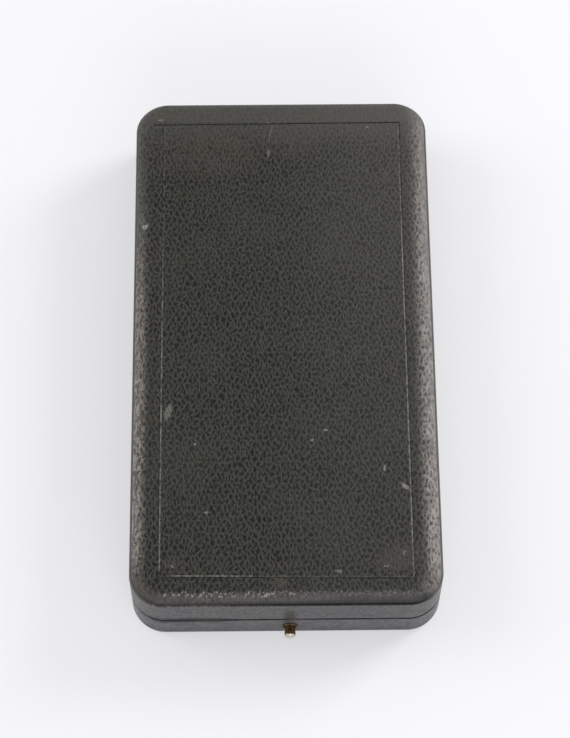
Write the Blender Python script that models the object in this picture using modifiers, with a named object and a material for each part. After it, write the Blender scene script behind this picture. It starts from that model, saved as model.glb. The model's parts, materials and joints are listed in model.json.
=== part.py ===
"""A cased service medal: a leatherette presentation case with a spring catch, and the medal in velvet.

Frame: +Z up, the case lies on its underside. The origin is the centre of the underside.
The hinge is at +Y, the push button at -Y, and X runs across the case. Lengths are in metres.
"""

import math

import bmesh
import bpy
from mathutils import Matrix, Vector

MM = 0.001

# ---- driving dimensions of the case ----
WIDTH = 70.4 * MM
LENGTH = 130.0 * MM
HEIGHT = 20.0 * MM
CORNER_RADIUS = 7.8 * MM
SEAM_Z = 9.1 * MM
SEAM_GAP = 0.3 * MM
SKIN = 0.5 * MM
GLUE = 0.1 * MM

# ---- base ----
RIM_Z = SEAM_Z - SEAM_GAP / 2
UNDERSIDE_ROUND = 1.6 * MM
BASE_WALL = 4.3 * MM
BASE_BOARD_TOP = 2.4 * MM
COLLAR_INSET = 5.0 * MM
COLLAR_THICKNESS = 1.0 * MM
COLLAR_TOP = 11.4 * MM
FLANGE_UNDER = 6.0 * MM

# ---- lid ----
LID_LOW = SEAM_Z + SEAM_GAP / 2
LID_WALL = 3.4 * MM
LID_WALL_TOP = 17.9 * MM
LID_BOARD = 1.5 * MM
LEDGE = 0.5 * MM
CROWN_RUN = 3.0 * MM
CROWN_EDGE = 0.3 * MM
LINING_THICKNESS = 0.6 * MM
PAD_DEPTH = 2.6 * MM
SATIN_SKIN = 0.4 * MM

# ---- velvet bed ----
BED_TOP = 8.8 * MM
BED_FLOOR = 4.4 * MM
TROUGH_FLOOR = 3.1 * MM
NOTCH_FLOOR = 5.0 * MM
NOTCH_RADIUS = 7.5 * MM
SEAT_ROOM = 1.2 * MM
RIBBON_ROOM = 2.2 * MM

# ---- medal ----
MEDAL_Y = -27.0 * MM
MEDAL_RADIUS = 18.0 * MM
MEDAL_LOW = 4.5 * MM
MEDAL_MID = 6.0 * MM
RIBBON_WIDTH = 32.0 * MM
RIBBON_LOW_Y = -2.0 * MM
RIBBON_HIGH_Y = 42.0 * MM
RIBBON_LOOP = 2.6 * MM
RIBBON_THICKNESS = 0.45 * MM
BAR_LENGTH = 38.0 * MM
BAR_DEPTH = 5.4 * MM
BAR_THICKNESS = 1.0 * MM
BAIL_WIRE = 0.5 * MM
BAIL_LOW_Y = -7.1 * MM
BROOCH_PIN_RADIUS = 0.35 * MM

# ---- hinges ----
HINGE_X = 19.0 * MM
HINGE_WIDTH = 15.0 * MM
KNUCKLES = 5
KNUCKLE_RADIUS = 1.2 * MM
KNUCKLE_GAP = 0.15 * MM
PIN_RADIUS = 0.5 * MM
PIN_CLEARANCE = 0.05 * MM
LEAF_REACH = 4.2 * MM
LEAF_THICKNESS = 0.5 * MM
LEAF_OFFSET = 0.1 * MM
LEAF_SEAT = 0.7 * MM
LEAF_ROOT = 1.6 * MM
HINGE_ROOM = 1.45 * MM
BRAD_SPACING = 8.0 * MM
BRAD_Y = -2.9 * MM
BRAD_RADIUS = 0.3 * MM
BRAD_HEAD = 0.25 * MM
BRAD_HOLE = 0.42 * MM
SMALL_BRAD_HOLE = 0.35 * MM
BRAD_DEPTH = 2.6 * MM

# ---- push button and spring catch ----
BUTTON_X = 0.8 * MM
BUTTON_Z = 4.9 * MM
BUTTON_RADIUS = 1.25 * MM
BUTTON_PROUD = 2.9 * MM
FERRULE_RADIUS = 1.5 * MM
FERRULE_LIP = 1.7 * MM
FERRULE_PROUD = 0.4 * MM
POCKET_FLOOR_Y = -62.6 * MM
POCKET_HALF = 9.0 * MM
SPRING_THICKNESS = 0.4 * MM
SPRING_Y = -61.7 * MM
SPRING_LOW = 3.6 * MM
SPRING_TOP = 8.25 * MM
SPRING_HEAD = 2.7 * MM
WINDOW_LOW = 6.9 * MM
WINDOW_TOP = 7.7 * MM
CATCH_WIDTH = 3.4 * MM
CATCH_LOW = 7.15 * MM
CATCH_TOP = 13.0 * MM
CATCH_Y = -62.25 * MM
CATCH_THICKNESS = 0.5 * MM
NOSE_REACH = 0.75 * MM

CORNER_STEPS = 6
ROUND_STEPS = 20
LITTLE = 0.00001

HALF_LENGTH = LENGTH / 2
HINGE_AXIS = Vector((0.0, HALF_LENGTH, SEAM_Z))
BUTTON_AXIS = Vector((BUTTON_X, -HALF_LENGTH, BUTTON_Z))

# colour, roughness, metallic
FINISHES = {
    "leatherette": ((0.045, 0.044, 0.042), 0.55, 0.0),
    "wood": ((0.52, 0.36, 0.20), 0.7, 0.0),
    "strawboard": ((0.47, 0.38, 0.24), 0.85, 0.0),
    "velvet": ((0.055, 0.06, 0.17), 0.95, 0.0),
    "satin": ((0.80, 0.76, 0.66), 0.35, 0.0),
    "wadding": ((0.86, 0.85, 0.82), 1.0, 0.0),
    "brass": ((0.62, 0.45, 0.20), 0.35, 1.0),
    "spring_steel": ((0.42, 0.43, 0.45), 0.35, 1.0),
    "bronze": ((0.42, 0.25, 0.12), 0.4, 1.0),
    "silver": ((0.72, 0.71, 0.68), 0.3, 1.0),
    "silk": ((0.05, 0.16, 0.10), 0.5, 0.0),
}


# ---------------------------------------------------------------- helpers


def clear_scene():
    for obj in list(bpy.data.objects):
        bpy.data.objects.remove(obj)


def collection(name, hidden=False):
    made = bpy.data.collections.new(name)
    bpy.context.scene.collection.children.link(made)
    made.hide_render = hidden
    return made


def material(name):
    made = bpy.data.materials.get(name)
    if made:
        return made
    colour, roughness, metallic = FINISHES[name]
    made = bpy.data.materials.new(name)
    made.use_nodes = True
    shader = made.node_tree.nodes["Principled BSDF"]
    shader.inputs["Base Color"].default_value = (*colour, 1.0)
    shader.inputs["Roughness"].default_value = roughness
    shader.inputs["Metallic"].default_value = metallic
    made.diffuse_color = (*colour, 1.0)
    return made


def link(obj, finish=None):
    """Puts a part in the case's collection, or, with no finish, a cutter among the cutters."""
    if finish:
        obj.data.materials.clear()
        obj.data.materials.append(material(finish))
        bpy.data.collections["cased_medal"].objects.link(obj)
    else:
        obj.hide_render = True
        obj.display_type = "WIRE"
        bpy.data.collections["cutters"].objects.link(obj)
    return obj


def mesh_object(name, bm, finish=None):
    mesh = bpy.data.meshes.new(name)
    bm.to_mesh(mesh)
    bm.free()
    return link(bpy.data.objects.new(name, mesh), finish)


def rounded_rectangle(inset=0.0, width=WIDTH, length=LENGTH, radius=CORNER_RADIUS):
    """The case's outline in plan, moved inwards by inset, anticlockwise."""
    r = max(radius - inset, 0.2 * MM)
    x, y = width / 2 - inset - r, length / 2 - inset - r
    points = []
    for quarter, (sx, sy) in enumerate(((1, 1), (-1, 1), (-1, -1), (1, -1))):
        for i in range(CORNER_STEPS + 1):
            a = math.pi / 2 * (quarter + i / CORNER_STEPS)
            points.append((sx * x + r * math.cos(a), sy * y + r * math.sin(a)))
    return points


def curve_to_mesh(curve_object, name, finish):
    """A welded mesh of a curve's own solid, in the curve's place. The curve is removed."""
    bpy.context.scene.collection.objects.link(curve_object)
    bpy.context.view_layer.update()
    graph = bpy.context.evaluated_depsgraph_get()
    mesh = bpy.data.meshes.new_from_object(curve_object.evaluated_get(graph))
    mesh.transform(curve_object.matrix_world)
    bpy.data.objects.remove(curve_object)
    bm = bmesh.new()
    bm.from_mesh(mesh)
    bmesh.ops.remove_doubles(bm, verts=bm.verts, dist=LITTLE / 10)
    bmesh.ops.recalc_face_normals(bm, faces=bm.faces)
    bm.to_mesh(mesh)
    bm.free()
    mesh.name = name
    return link(bpy.data.objects.new(name, mesh), finish)


def slab(name, outlines, low, high, finish=None):
    """A flat piece between two heights. The outlines after the first are holes in it."""
    curve = bpy.data.curves.new(name, "CURVE")
    curve.dimensions = "2D"
    curve.fill_mode = "BOTH"
    curve.extrude = (high - low) / 2
    for outline in outlines:
        spline = curve.splines.new("POLY")
        spline.points.add(len(outline) - 1)
        for point, (x, y) in zip(spline.points, outline):
            point.co = (x, y, 0.0, 1.0)
        spline.use_cyclic_u = True
    obj = bpy.data.objects.new(name, curve)
    obj.location.z = (low + high) / 2
    return curve_to_mesh(obj, name, finish)


def round_rim(obj, height, radius, segments=3):
    """Rounds the outer edge of a slab at one height, and merges its flat faces first."""
    bm = bmesh.new()
    bm.from_mesh(obj.data)
    bmesh.ops.dissolve_limit(bm, angle_limit=0.001, verts=bm.verts, edges=bm.edges)
    rim = []
    for edge in bm.edges:
        level = all(abs(v.co.z - height) < LITTLE for v in edge.verts)
        if level and edge.calc_face_angle(0.0) > 1.0:
            rim.append(edge)
    bmesh.ops.bevel(bm, geom=rim, offset=radius, offset_type="OFFSET", segments=segments,
                    profile=0.5, affect="EDGES")
    bm.to_mesh(obj.data)
    bm.free()
    return obj


def stretch_above(obj, height, share):
    """Squeezes what is above a height, so that a round edge becomes a quarter of an ellipse."""
    for vertex in obj.data.vertices:
        if vertex.co.z > height:
            vertex.co.z = height + (vertex.co.z - height) * share
    return obj


def block(name, low, high, finish=None):
    bm = bmesh.new()
    bmesh.ops.create_cube(bm, size=1.0)
    low, high = Vector(low), Vector(high)
    bmesh.ops.scale(bm, vec=high - low, verts=bm.verts)
    bmesh.ops.translate(bm, vec=(low + high) / 2, verts=bm.verts)
    return mesh_object(name, bm, finish)


def rod(name, start, end, radius, finish=None, steps=ROUND_STEPS):
    """A round bar from one point to another."""
    start, end = Vector(start), Vector(end)
    bm = bmesh.new()
    bmesh.ops.create_cone(bm, cap_ends=True, segments=steps, radius1=radius, radius2=radius,
                          depth=(end - start).length)
    turn = Vector((0, 0, 1)).rotation_difference(end - start).to_matrix().to_4x4()
    bmesh.ops.transform(bm, matrix=Matrix.Translation((start + end) / 2) @ turn, verts=bm.verts)
    return mesh_object(name, bm, finish)


def turned(name, profile, finish=None, steps=ROUND_STEPS):
    """A turned piece. The profile is (radius, height) pairs, from its top down the outer side."""
    mesh = bpy.data.meshes.new(name)
    edges = [(i, i + 1) for i in range(len(profile) - 1)]
    mesh.from_pydata([(r, 0.0, z) for r, z in profile], edges, [])
    obj = link(bpy.data.objects.new(name, mesh), finish)
    screw = obj.modifiers.new("turn", "SCREW")
    screw.steps = screw.render_steps = steps
    screw.use_merge_vertices = True
    screw.merge_threshold = LITTLE / 10
    return obj


def combine(obj, operation, *others):
    """Leaves a Boolean on the object for each other piece."""
    for other in others:
        boolean = obj.modifiers.new(other.name, "BOOLEAN")
        boolean.operation = operation
        boolean.object = other
    return obj


def cut(obj, *cutters):
    return combine(obj, "DIFFERENCE", *cutters)


def fuse(obj, *others):
    return combine(obj, "UNION", *others)


def settle(obj):
    """Turns an object's modifiers into its own mesh, so that copies can share it."""
    bpy.context.view_layer.update()
    graph = bpy.context.evaluated_depsgraph_get()
    mesh = bpy.data.meshes.new_from_object(obj.evaluated_get(graph))
    obj.modifiers.clear()
    obj.data = mesh
    return obj


def pivot(name, place):
    """An empty on a joint's axis."""
    empty = bpy.data.objects.new(name, None)
    empty.location = place
    empty.empty_display_size = 5 * MM
    bpy.data.collections["cased_medal"].objects.link(empty)
    bpy.context.view_layer.update()
    return empty


def hang(parent, *objects):
    """Parents pieces to a pivot, leaving them where they are."""
    for obj in objects:
        obj.parent = parent
        obj.matrix_parent_inverse = parent.matrix_world.inverted()


def smooth(*objects):
    for obj in objects:
        obj.data.shade_smooth()
        obj.data.set_sharp_from_angle(angle=math.radians(30))


# ---------------------------------------------------------------- cutters shared by several pieces


def hinge_cutters():
    """Room for each hinge: a round groove for its barrel, and a seat in both covers for its leaves."""
    made = []
    half = HINGE_WIDTH / 2 + 0.3 * MM
    for side, x in (("left", -HINGE_X), ("right", HINGE_X)):
        made.append(rod(f"cut_barrel_{side}", (x - half, HALF_LENGTH, SEAM_Z),
                        (x + half, HALF_LENGTH, SEAM_Z), HINGE_ROOM))
        made.append(block(f"cut_leaf_seat_{side}",
                          (x - half, HALF_LENGTH - LEAF_REACH - 0.2 * MM, SEAM_Z - LEAF_SEAT),
                          (x + half, HALF_LENGTH + 2 * MM, SEAM_Z + LEAF_SEAT)))
    return made


def brad_places():
    """Where the hinge leaves are nailed, in plan."""
    return [(side * HINGE_X + along * BRAD_SPACING / 2, HALF_LENGTH + BRAD_Y)
            for side in (-1, 1) for along in (-1, 1)]


def hinge_brad_cutters(name, low, high):
    return [rod(f"{name}_{i}", (x, y, low), (x, y, high), BRAD_HOLE, steps=12)
            for i, (x, y) in enumerate(brad_places())]


def recess(name, grow, floor):
    """The medal's bed: a round seat, a flare for the bail, and beds for the ribbon and the bar."""
    top = BED_TOP + 2 * MM
    seat = rod(f"{name}_seat", (0, MEDAL_Y, floor), (0, MEDAL_Y, top),
               MEDAL_RADIUS + SEAT_ROOM + grow, steps=48)
    half = RIBBON_WIDTH / 2 + RIBBON_ROOM + grow
    flare_low = MEDAL_Y + MEDAL_RADIUS * 0.9
    flare = [(half, RIBBON_LOW_Y + 2 * MM), (-half, RIBBON_LOW_Y + 2 * MM),
             (-half, BAIL_LOW_Y + 3.6 * MM - grow), (-7.5 * MM - grow, flare_low),
             (7.5 * MM + grow, flare_low), (half, BAIL_LOW_Y + 3.6 * MM - grow)]
    bail_bed = slab(f"{name}_flare", [flare], floor, top)
    ribbon_bed = block(f"{name}_ribbon", (-half, RIBBON_LOW_Y + 1 * MM, floor),
                       (half, RIBBON_HIGH_Y, top))
    bar_half = BAR_LENGTH / 2 + SEAT_ROOM + grow
    bar_bed = block(f"{name}_bar",
                    (-bar_half, RIBBON_HIGH_Y - BAR_DEPTH - 2 * MM - grow, floor),
                    (bar_half, RIBBON_HIGH_Y + 1.5 * MM + grow, top))
    return [seat, bail_bed, ribbon_bed, bar_bed]


def trough(name, grow, floor):
    """A deeper slot under the brooch bar, for its pin."""
    half = BAR_LENGTH / 2 + 0.6 * MM + grow
    y = RIBBON_HIGH_Y - BAR_DEPTH / 2 - 0.55 * MM
    return block(name, (-half, y - 2.8 * MM - grow, floor),
                 (half, y + 2.8 * MM + grow, BED_TOP + 2 * MM))


def notch(name, grow, floor):
    """A thumb notch at the foot of the medal."""
    y = MEDAL_Y - MEDAL_RADIUS
    return rod(name, (0, y, floor), (0, y, BED_TOP + 2 * MM), NOTCH_RADIUS + grow, steps=32)


# ---------------------------------------------------------------- base


def make_base(hinge_room):
    wood_inset = SKIN + GLUE
    cover = slab("base_cover", [rounded_rectangle()], 0.0, RIM_Z, "leatherette")
    round_rim(cover, 0.0, UNDERSIDE_ROUND)
    round_rim(cover, RIM_Z, SKIN, segments=2)
    hollow = slab("cut_base_cover_hollow", [rounded_rectangle(SKIN)], SKIN, RIM_Z - SKIN)
    round_rim(hollow, SKIN, UNDERSIDE_ROUND - SKIN)
    mouth = slab("cut_base_cover_mouth", [rounded_rectangle(COLLAR_INSET - GLUE)],
                 RIM_Z - 2 * SKIN, RIM_Z + SKIN)
    under = slab("cut_base_cover_under", [rounded_rectangle(FLANGE_UNDER)], -SKIN, 2 * SKIN)
    cut(cover, hollow, mouth, under, *hinge_room)

    slab("underside_panel", [rounded_rectangle(FLANGE_UNDER + 0.2 * MM)], 0.0, SKIN, "leatherette")

    frame_top = RIM_Z - SKIN - GLUE
    frame = slab("base_frame", [rounded_rectangle(wood_inset)], wood_inset, frame_top, "wood")
    round_rim(frame, wood_inset, UNDERSIDE_ROUND - wood_inset)
    inner = slab("cut_base_frame_inner", [rounded_rectangle(wood_inset + BASE_WALL)],
                 0.0, RIM_Z + SKIN)
    cut(frame, inner, *hinge_room)
    cut(frame, *hinge_brad_cutters("cut_base_brad", SEAM_Z - 4 * MM, SEAM_Z))

    slab("base_board", [rounded_rectangle(wood_inset + BASE_WALL + GLUE)],
         wood_inset, BASE_BOARD_TOP, "strawboard")
    slab("base_collar",
         [rounded_rectangle(COLLAR_INSET), rounded_rectangle(COLLAR_INSET + COLLAR_THICKNESS)],
         BASE_BOARD_TOP + GLUE, COLLAR_TOP, "velvet")

    make_catch_pocket(cover, frame)
    make_bed()


def make_catch_pocket(cover, frame):
    """Cuts the push button's hole, the spring's pocket and the slot that the lid's catch enters."""
    x = BUTTON_X
    hole = rod("cut_ferrule_hole", (x, -HALF_LENGTH - 1 * MM, BUTTON_Z),
               (x, POCKET_FLOOR_Y + 1 * MM, BUTTON_Z), FERRULE_RADIUS + 0.05 * MM)
    wall_inside = -HALF_LENGTH + SKIN + GLUE + BASE_WALL
    pocket = block("cut_spring_pocket", (x - POCKET_HALF, POCKET_FLOOR_Y, 1.5 * MM),
                   (x + POCKET_HALF, wall_inside + 1 * MM, SPRING_TOP - 0.7 * MM))
    front, back = CATCH_Y - 0.65 * MM, wall_inside - 0.25 * MM
    mouth_half = CATCH_WIDTH / 2 + 0.45 * MM
    mouth = block("cut_catch_mouth", (x - mouth_half, front, WINDOW_LOW),
                  (x + mouth_half, back, SEAM_Z + 1 * MM))
    slot_half = SPRING_HEAD + 0.2 * MM
    slot = block("cut_spring_slot", (x - slot_half, front, WINDOW_LOW),
                 (x + slot_half, back, SEAM_Z + 1 * MM))
    cut(cover, hole, mouth)
    cut(frame, hole, pocket, slot)
    cut(frame, *(rod(f"cut_spring_brad_{i}", (bx, POCKET_FLOOR_Y - 1.3 * MM, bz),
                     (bx, POCKET_FLOOR_Y + 1 * MM, bz), SMALL_BRAD_HOLE, steps=12)
                 for i, (bx, bz) in enumerate(spring_brad_places())))


def make_bed():
    """The pressed board form, and the velvet over it, which follows each recess."""
    outline = rounded_rectangle(COLLAR_INSET + COLLAR_THICKNESS + GLUE)
    form_inset = rounded_rectangle(COLLAR_INSET + COLLAR_THICKNESS + 2 * GLUE)
    form = slab("bed_form", [form_inset], BASE_BOARD_TOP + GLUE, BED_TOP - SKIN - GLUE,
                "strawboard")
    room = SKIN + GLUE
    cut(form, *recess("cut_form", room, BED_FLOOR - room))
    cut(form, trough("cut_form_trough", room, 0.0))
    cut(form, notch("cut_form_notch", room, NOTCH_FLOOR - room))

    velvet = slab("bed_velvet", [outline], TROUGH_FLOOR - SKIN, BED_TOP, "velvet")
    core = slab("cut_velvet_core", [rounded_rectangle(COLLAR_INSET - 1 * MM)],
                TROUGH_FLOOR - 2 * SKIN, BED_TOP - SKIN)
    cut(core, *recess("cut_core", SKIN, BED_FLOOR - SKIN))
    cut(core, trough("cut_core_trough", SKIN, TROUGH_FLOOR - SKIN))
    cut(core, notch("cut_core_notch", SKIN, NOTCH_FLOOR - SKIN))
    cut(velvet, core)
    cut(velvet, *recess("cut_velvet", 0.0, BED_FLOOR))
    cut(velvet, trough("cut_velvet_trough", 0.0, TROUGH_FLOOR))
    cut(velvet, notch("cut_velvet_notch", 0.0, NOTCH_FLOOR))


# ---------------------------------------------------------------- lid


def make_lid(hinge_room):
    wood_inset = SKIN + GLUE
    cover = slab("lid_side_cover", [rounded_rectangle()], LID_LOW, LID_WALL_TOP, "leatherette")
    round_rim(cover, LID_LOW, SKIN, segments=2)
    round_rim(cover, LID_WALL_TOP, 0.35 * MM, segments=2)
    hollow = slab("cut_lid_cover_hollow", [rounded_rectangle(SKIN)],
                  LID_LOW + SKIN, LID_WALL_TOP - SKIN)
    mouth = slab("cut_lid_cover_mouth", [rounded_rectangle(wood_inset + LID_WALL)],
                 LID_LOW - SKIN, LID_LOW + 2 * SKIN)
    above = slab("cut_lid_cover_above", [rounded_rectangle(FLANGE_UNDER)],
                 LID_WALL_TOP - 2 * SKIN, LID_WALL_TOP + SKIN)
    cut(cover, hollow, mouth, above, *hinge_room)

    frame_low = LID_LOW + SKIN + GLUE
    frame_top = LID_WALL_TOP - SKIN - GLUE
    frame = slab("lid_frame",
                 [rounded_rectangle(wood_inset), rounded_rectangle(wood_inset + LID_WALL)],
                 frame_low, frame_top, "wood")
    cut(frame, *hinge_room)
    cut(frame, *hinge_brad_cutters("cut_lid_brad", SEAM_Z, SEAM_Z + 4 * MM))
    board = slab("lid_board", [rounded_rectangle(wood_inset + LID_WALL + GLUE)],
                 frame_top - LID_BOARD, frame_top, "strawboard")

    slot_half = CATCH_WIDTH / 2 + 0.1 * MM
    kerf = block("cut_catch_kerf",
                 (BUTTON_X - slot_half, CATCH_Y - CATCH_THICKNESS / 2 - 0.05 * MM, LID_LOW - SKIN),
                 (BUTTON_X + slot_half, CATCH_Y + CATCH_THICKNESS / 2 + 0.05 * MM,
                  CATCH_TOP + 0.1 * MM))
    cut(cover, kerf)
    cut(frame, kerf)
    cut(frame, *(rod(f"cut_catch_brad_{i}", (bx, CATCH_Y - 1.2 * MM, bz),
                     (bx, -HALF_LENGTH + 5 * MM, bz), SMALL_BRAD_HOLE, steps=12)
                 for i, (bx, bz) in enumerate(catch_brad_places())))

    crown, skin = make_crown()
    lining_inset = wood_inset + LID_WALL + GLUE
    lining = slab("lid_lining_strip",
                  [rounded_rectangle(lining_inset),
                   rounded_rectangle(lining_inset + LINING_THICKNESS)],
                  LID_LOW + SKIN + GLUE, frame_top - LID_BOARD - GLUE, "satin")
    wadding, satin = make_pad(lining_inset + LINING_THICKNESS, frame_top - LID_BOARD - GLUE)
    return cover, frame, board, crown, skin, lining, wadding, satin


def make_crown():
    """The bevelled board on top of the lid, and the leatherette over it."""
    low = LID_WALL_TOP + GLUE
    squeeze = (HEIGHT - low - CROWN_EDGE) / CROWN_RUN

    def dome(name, inside, finish=None):
        """A slab with a wide round upper edge, squeezed to its height, this far inside the cover."""
        base = low - inside
        tall = base + CROWN_EDGE + CROWN_RUN
        shape = slab(name, [rounded_rectangle(LEDGE + inside)], base, tall, finish)
        round_rim(shape, tall, CROWN_RUN * 0.98, segments=5)
        return stretch_above(shape, base + CROWN_EDGE, squeeze)

    skin = dome("lid_crown_cover", 0.0, "leatherette")
    cut(skin, dome("cut_crown_hollow", SKIN))
    board = dome("lid_crown_board", SKIN + GLUE, "strawboard")
    cut(board, block("cut_crown_foot", (-WIDTH, -LENGTH, low - 2 * MM), (WIDTH, LENGTH, low)))
    return board, skin


def make_pad(inset, top):
    """The wadding inside the lid, and the satin stretched over it."""
    satin_low = top - PAD_DEPTH
    satin = slab("lid_satin", [rounded_rectangle(inset + GLUE)], satin_low, top, "satin")
    round_rim(satin, satin_low, PAD_DEPTH * 0.8, segments=4)
    hollow = slab("cut_satin_hollow", [rounded_rectangle(inset + GLUE + SATIN_SKIN)],
                  satin_low + SATIN_SKIN, top + 1 * MM)
    round_rim(hollow, satin_low + SATIN_SKIN, PAD_DEPTH * 0.72, segments=4)
    cut(satin, hollow)
    wadding_low = satin_low + SATIN_SKIN + GLUE
    wadding = slab("lid_wadding", [rounded_rectangle(inset + SATIN_SKIN + 2 * GLUE)],
                   wadding_low, top, "wadding")
    round_rim(wadding, wadding_low, PAD_DEPTH * 0.68, segments=4)
    return wadding, satin


# ---------------------------------------------------------------- hinges


def knuckle_spans(own):
    """(low, high) along the hinge of every second knuckle, from the first or from the second."""
    step = HINGE_WIDTH / KNUCKLES
    first = 0 if own == "base" else 1
    return [(-HINGE_WIDTH / 2 + i * step + KNUCKLE_GAP / 2,
             -HINGE_WIDTH / 2 + (i + 1) * step - KNUCKLE_GAP / 2)
            for i in range(first, KNUCKLES, 2)]


def leaf_outline(spans):
    """A leaf in plan, with a tab to each of its knuckles. The hinge axis is y = 0."""
    half = HINGE_WIDTH / 2
    points = [(-half, -LEAF_REACH), (half, -LEAF_REACH), (half, -LEAF_ROOT)]
    for low, high in reversed(spans):
        points += [(high, -LEAF_ROOT), (high, 0.0), (low, 0.0), (low, -LEAF_ROOT)]
    points.append((-half, -LEAF_ROOT))
    tidy = [points[0]]
    for point in points[1:]:
        if (Vector(point) - Vector(tidy[-1])).length > LITTLE:
            tidy.append(point)
    return tidy


def make_leaf(own):
    """One hinge leaf with its knuckles, about its own axis."""
    spans = knuckle_spans(own)
    side = -1 if own == "base" else 1
    faces = sorted((side * LEAF_OFFSET, side * (LEAF_OFFSET + LEAF_THICKNESS)))
    leaf = slab(f"hinge_left_{own}_leaf", [leaf_outline(spans)], *faces, "brass")
    fuse(leaf, *(rod(f"add_{own}_knuckle_{i}", (low, 0, 0), (high, 0, 0), KNUCKLE_RADIUS, steps=20)
                 for i, (low, high) in enumerate(spans)))
    cut(leaf, rod(f"cut_{own}_bore", (-HINGE_WIDTH, 0, 0), (HINGE_WIDTH, 0, 0),
                  PIN_RADIUS + PIN_CLEARANCE, steps=16))
    cut(leaf, *(rod(f"cut_{own}_leaf_hole_{i}", (x, BRAD_Y, -2 * MM), (x, BRAD_Y, 2 * MM),
                    BRAD_HOLE, steps=12)
                for i, x in enumerate((-BRAD_SPACING / 2, BRAD_SPACING / 2))))
    return settle(leaf)


def make_hinges():
    """Two butt hinges. Each right-hand piece shares the left one's mesh."""
    left, right = HINGE_AXIS - Vector((HINGE_X, 0, 0)), HINGE_AXIS + Vector((HINGE_X, 0, 0))
    half = HINGE_WIDTH / 2
    pin = rod("hinge_left_pin", (-half, 0, 0), (half, 0, 0), PIN_RADIUS, "spring_steel", steps=16)
    pieces = {"base": make_leaf("base"), "lid": make_leaf("lid"), "pin": pin}
    made = {}
    for role, piece in pieces.items():
        twin = piece.copy()
        twin.name = piece.name.replace("left", "right")
        bpy.data.collections["cased_medal"].objects.link(twin)
        piece.location, twin.location = left, right
        made[role] = [piece, twin]
        smooth(piece)
    return made


def brad(name, place, direction, length, head=True):
    """A small nail, from under its head along a direction."""
    place, direction = Vector(place), Vector(direction)
    shank = rod(name, place, place + direction * length, BRAD_RADIUS, "brass", steps=8)
    if head:
        fuse(shank, rod(f"add_{name}_head", place - direction * BRAD_HEAD,
                        place + direction * BRAD_HEAD / 5, BRAD_RADIUS * 1.8, steps=12))
    return shank


def spring_brad_places():
    x = BUTTON_X - POCKET_HALF + 1.8 * MM
    return [(x, SPRING_LOW + 1.1 * MM), (x, SPRING_TOP - 2.0 * MM)]


def catch_brad_places():
    return [(BUTTON_X, CATCH_TOP - 0.9 * MM), (BUTTON_X, CATCH_TOP - 2.4 * MM)]


def make_brads():
    """The nails of the hinges, the catch spring and the lid's catch. Returns those in the lid."""
    spring_face = POCKET_FLOOR_Y + 0.1 * MM + SPRING_THICKNESS
    for i, (x, z) in enumerate(spring_brad_places(), 1):
        brad(f"catch_spring_brad_{i}", (x, spring_face + 0.1 * MM, z), (0, -1, 0), 1.5 * MM)
    in_lid = []
    for i, (x, y) in enumerate(brad_places(), 1):
        for own, up in (("base", -1), ("lid", 1)):
            nail = brad(f"hinge_{own}_brad_{i}", (x, y, SEAM_Z + up * LEAF_OFFSET), (0, 0, up),
                        BRAD_DEPTH, head=False)
            if own == "lid":
                in_lid.append(nail)
    for i, (x, z) in enumerate(catch_brad_places(), 1):
        in_lid.append(brad(f"lid_catch_brad_{i}", (x, CATCH_Y + 1.1 * MM, z), (0, -1, 0),
                           BRAD_DEPTH - 0.4 * MM, head=False))
    return in_lid


# ---------------------------------------------------------------- push button and catch


def make_button():
    """The stud that is pressed, with the collar that keeps it in its ferrule. Its axis is -Y."""
    dome = [(BUTTON_RADIUS * math.sin(a), BUTTON_PROUD - BUTTON_RADIUS * 0.6 * (1 - math.cos(a)))
            for a in (math.radians(d) for d in range(0, 91, 15))]
    back = -(POCKET_FLOOR_Y + HALF_LENGTH) - 0.1 * MM
    collar = BUTTON_RADIUS + 0.4 * MM
    profile = dome + [(BUTTON_RADIUS, back), (collar, back), (collar, back - 0.5 * MM),
                      (0.0, back - 0.5 * MM)]
    button = turned("push_button", profile, "brass")
    button.rotation_euler = (math.radians(90), 0, 0)
    button.location = BUTTON_AXIS
    smooth(button)
    return button


def make_ferrule():
    """The brass tube that lines the button's hole, with a lip on the leatherette."""
    bore = BUTTON_RADIUS + 0.1 * MM
    inner = -(POCKET_FLOOR_Y + HALF_LENGTH)
    profile = [(bore, FERRULE_PROUD), (FERRULE_LIP - 0.15 * MM, FERRULE_PROUD),
               (FERRULE_LIP, FERRULE_PROUD - 0.15 * MM), (FERRULE_LIP, 0.05 * MM),
               (FERRULE_RADIUS, 0.05 * MM), (FERRULE_RADIUS, inner), (bore, inner),
               (bore, FERRULE_PROUD)]
    ferrule = turned("button_ferrule", profile, "brass")
    ferrule.rotation_euler = (math.radians(90), 0, 0)
    ferrule.location = BUTTON_AXIS
    smooth(ferrule)
    return ferrule


def strip_outline(path, thickness):
    """Both sides of a bent strip, as one outline."""
    half = thickness / 2
    sides = ([], [])
    for i, point in enumerate(path):
        before, after = path[max(i - 1, 0)], path[min(i + 1, len(path) - 1)]
        along = (Vector(after) - Vector(before)).normalized()
        across = Vector((-along.y, along.x)) * half
        sides[0].append(tuple(Vector(point) - across))
        sides[1].append(tuple(Vector(point) + across))
    return sides[0] + sides[1][::-1]


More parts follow.
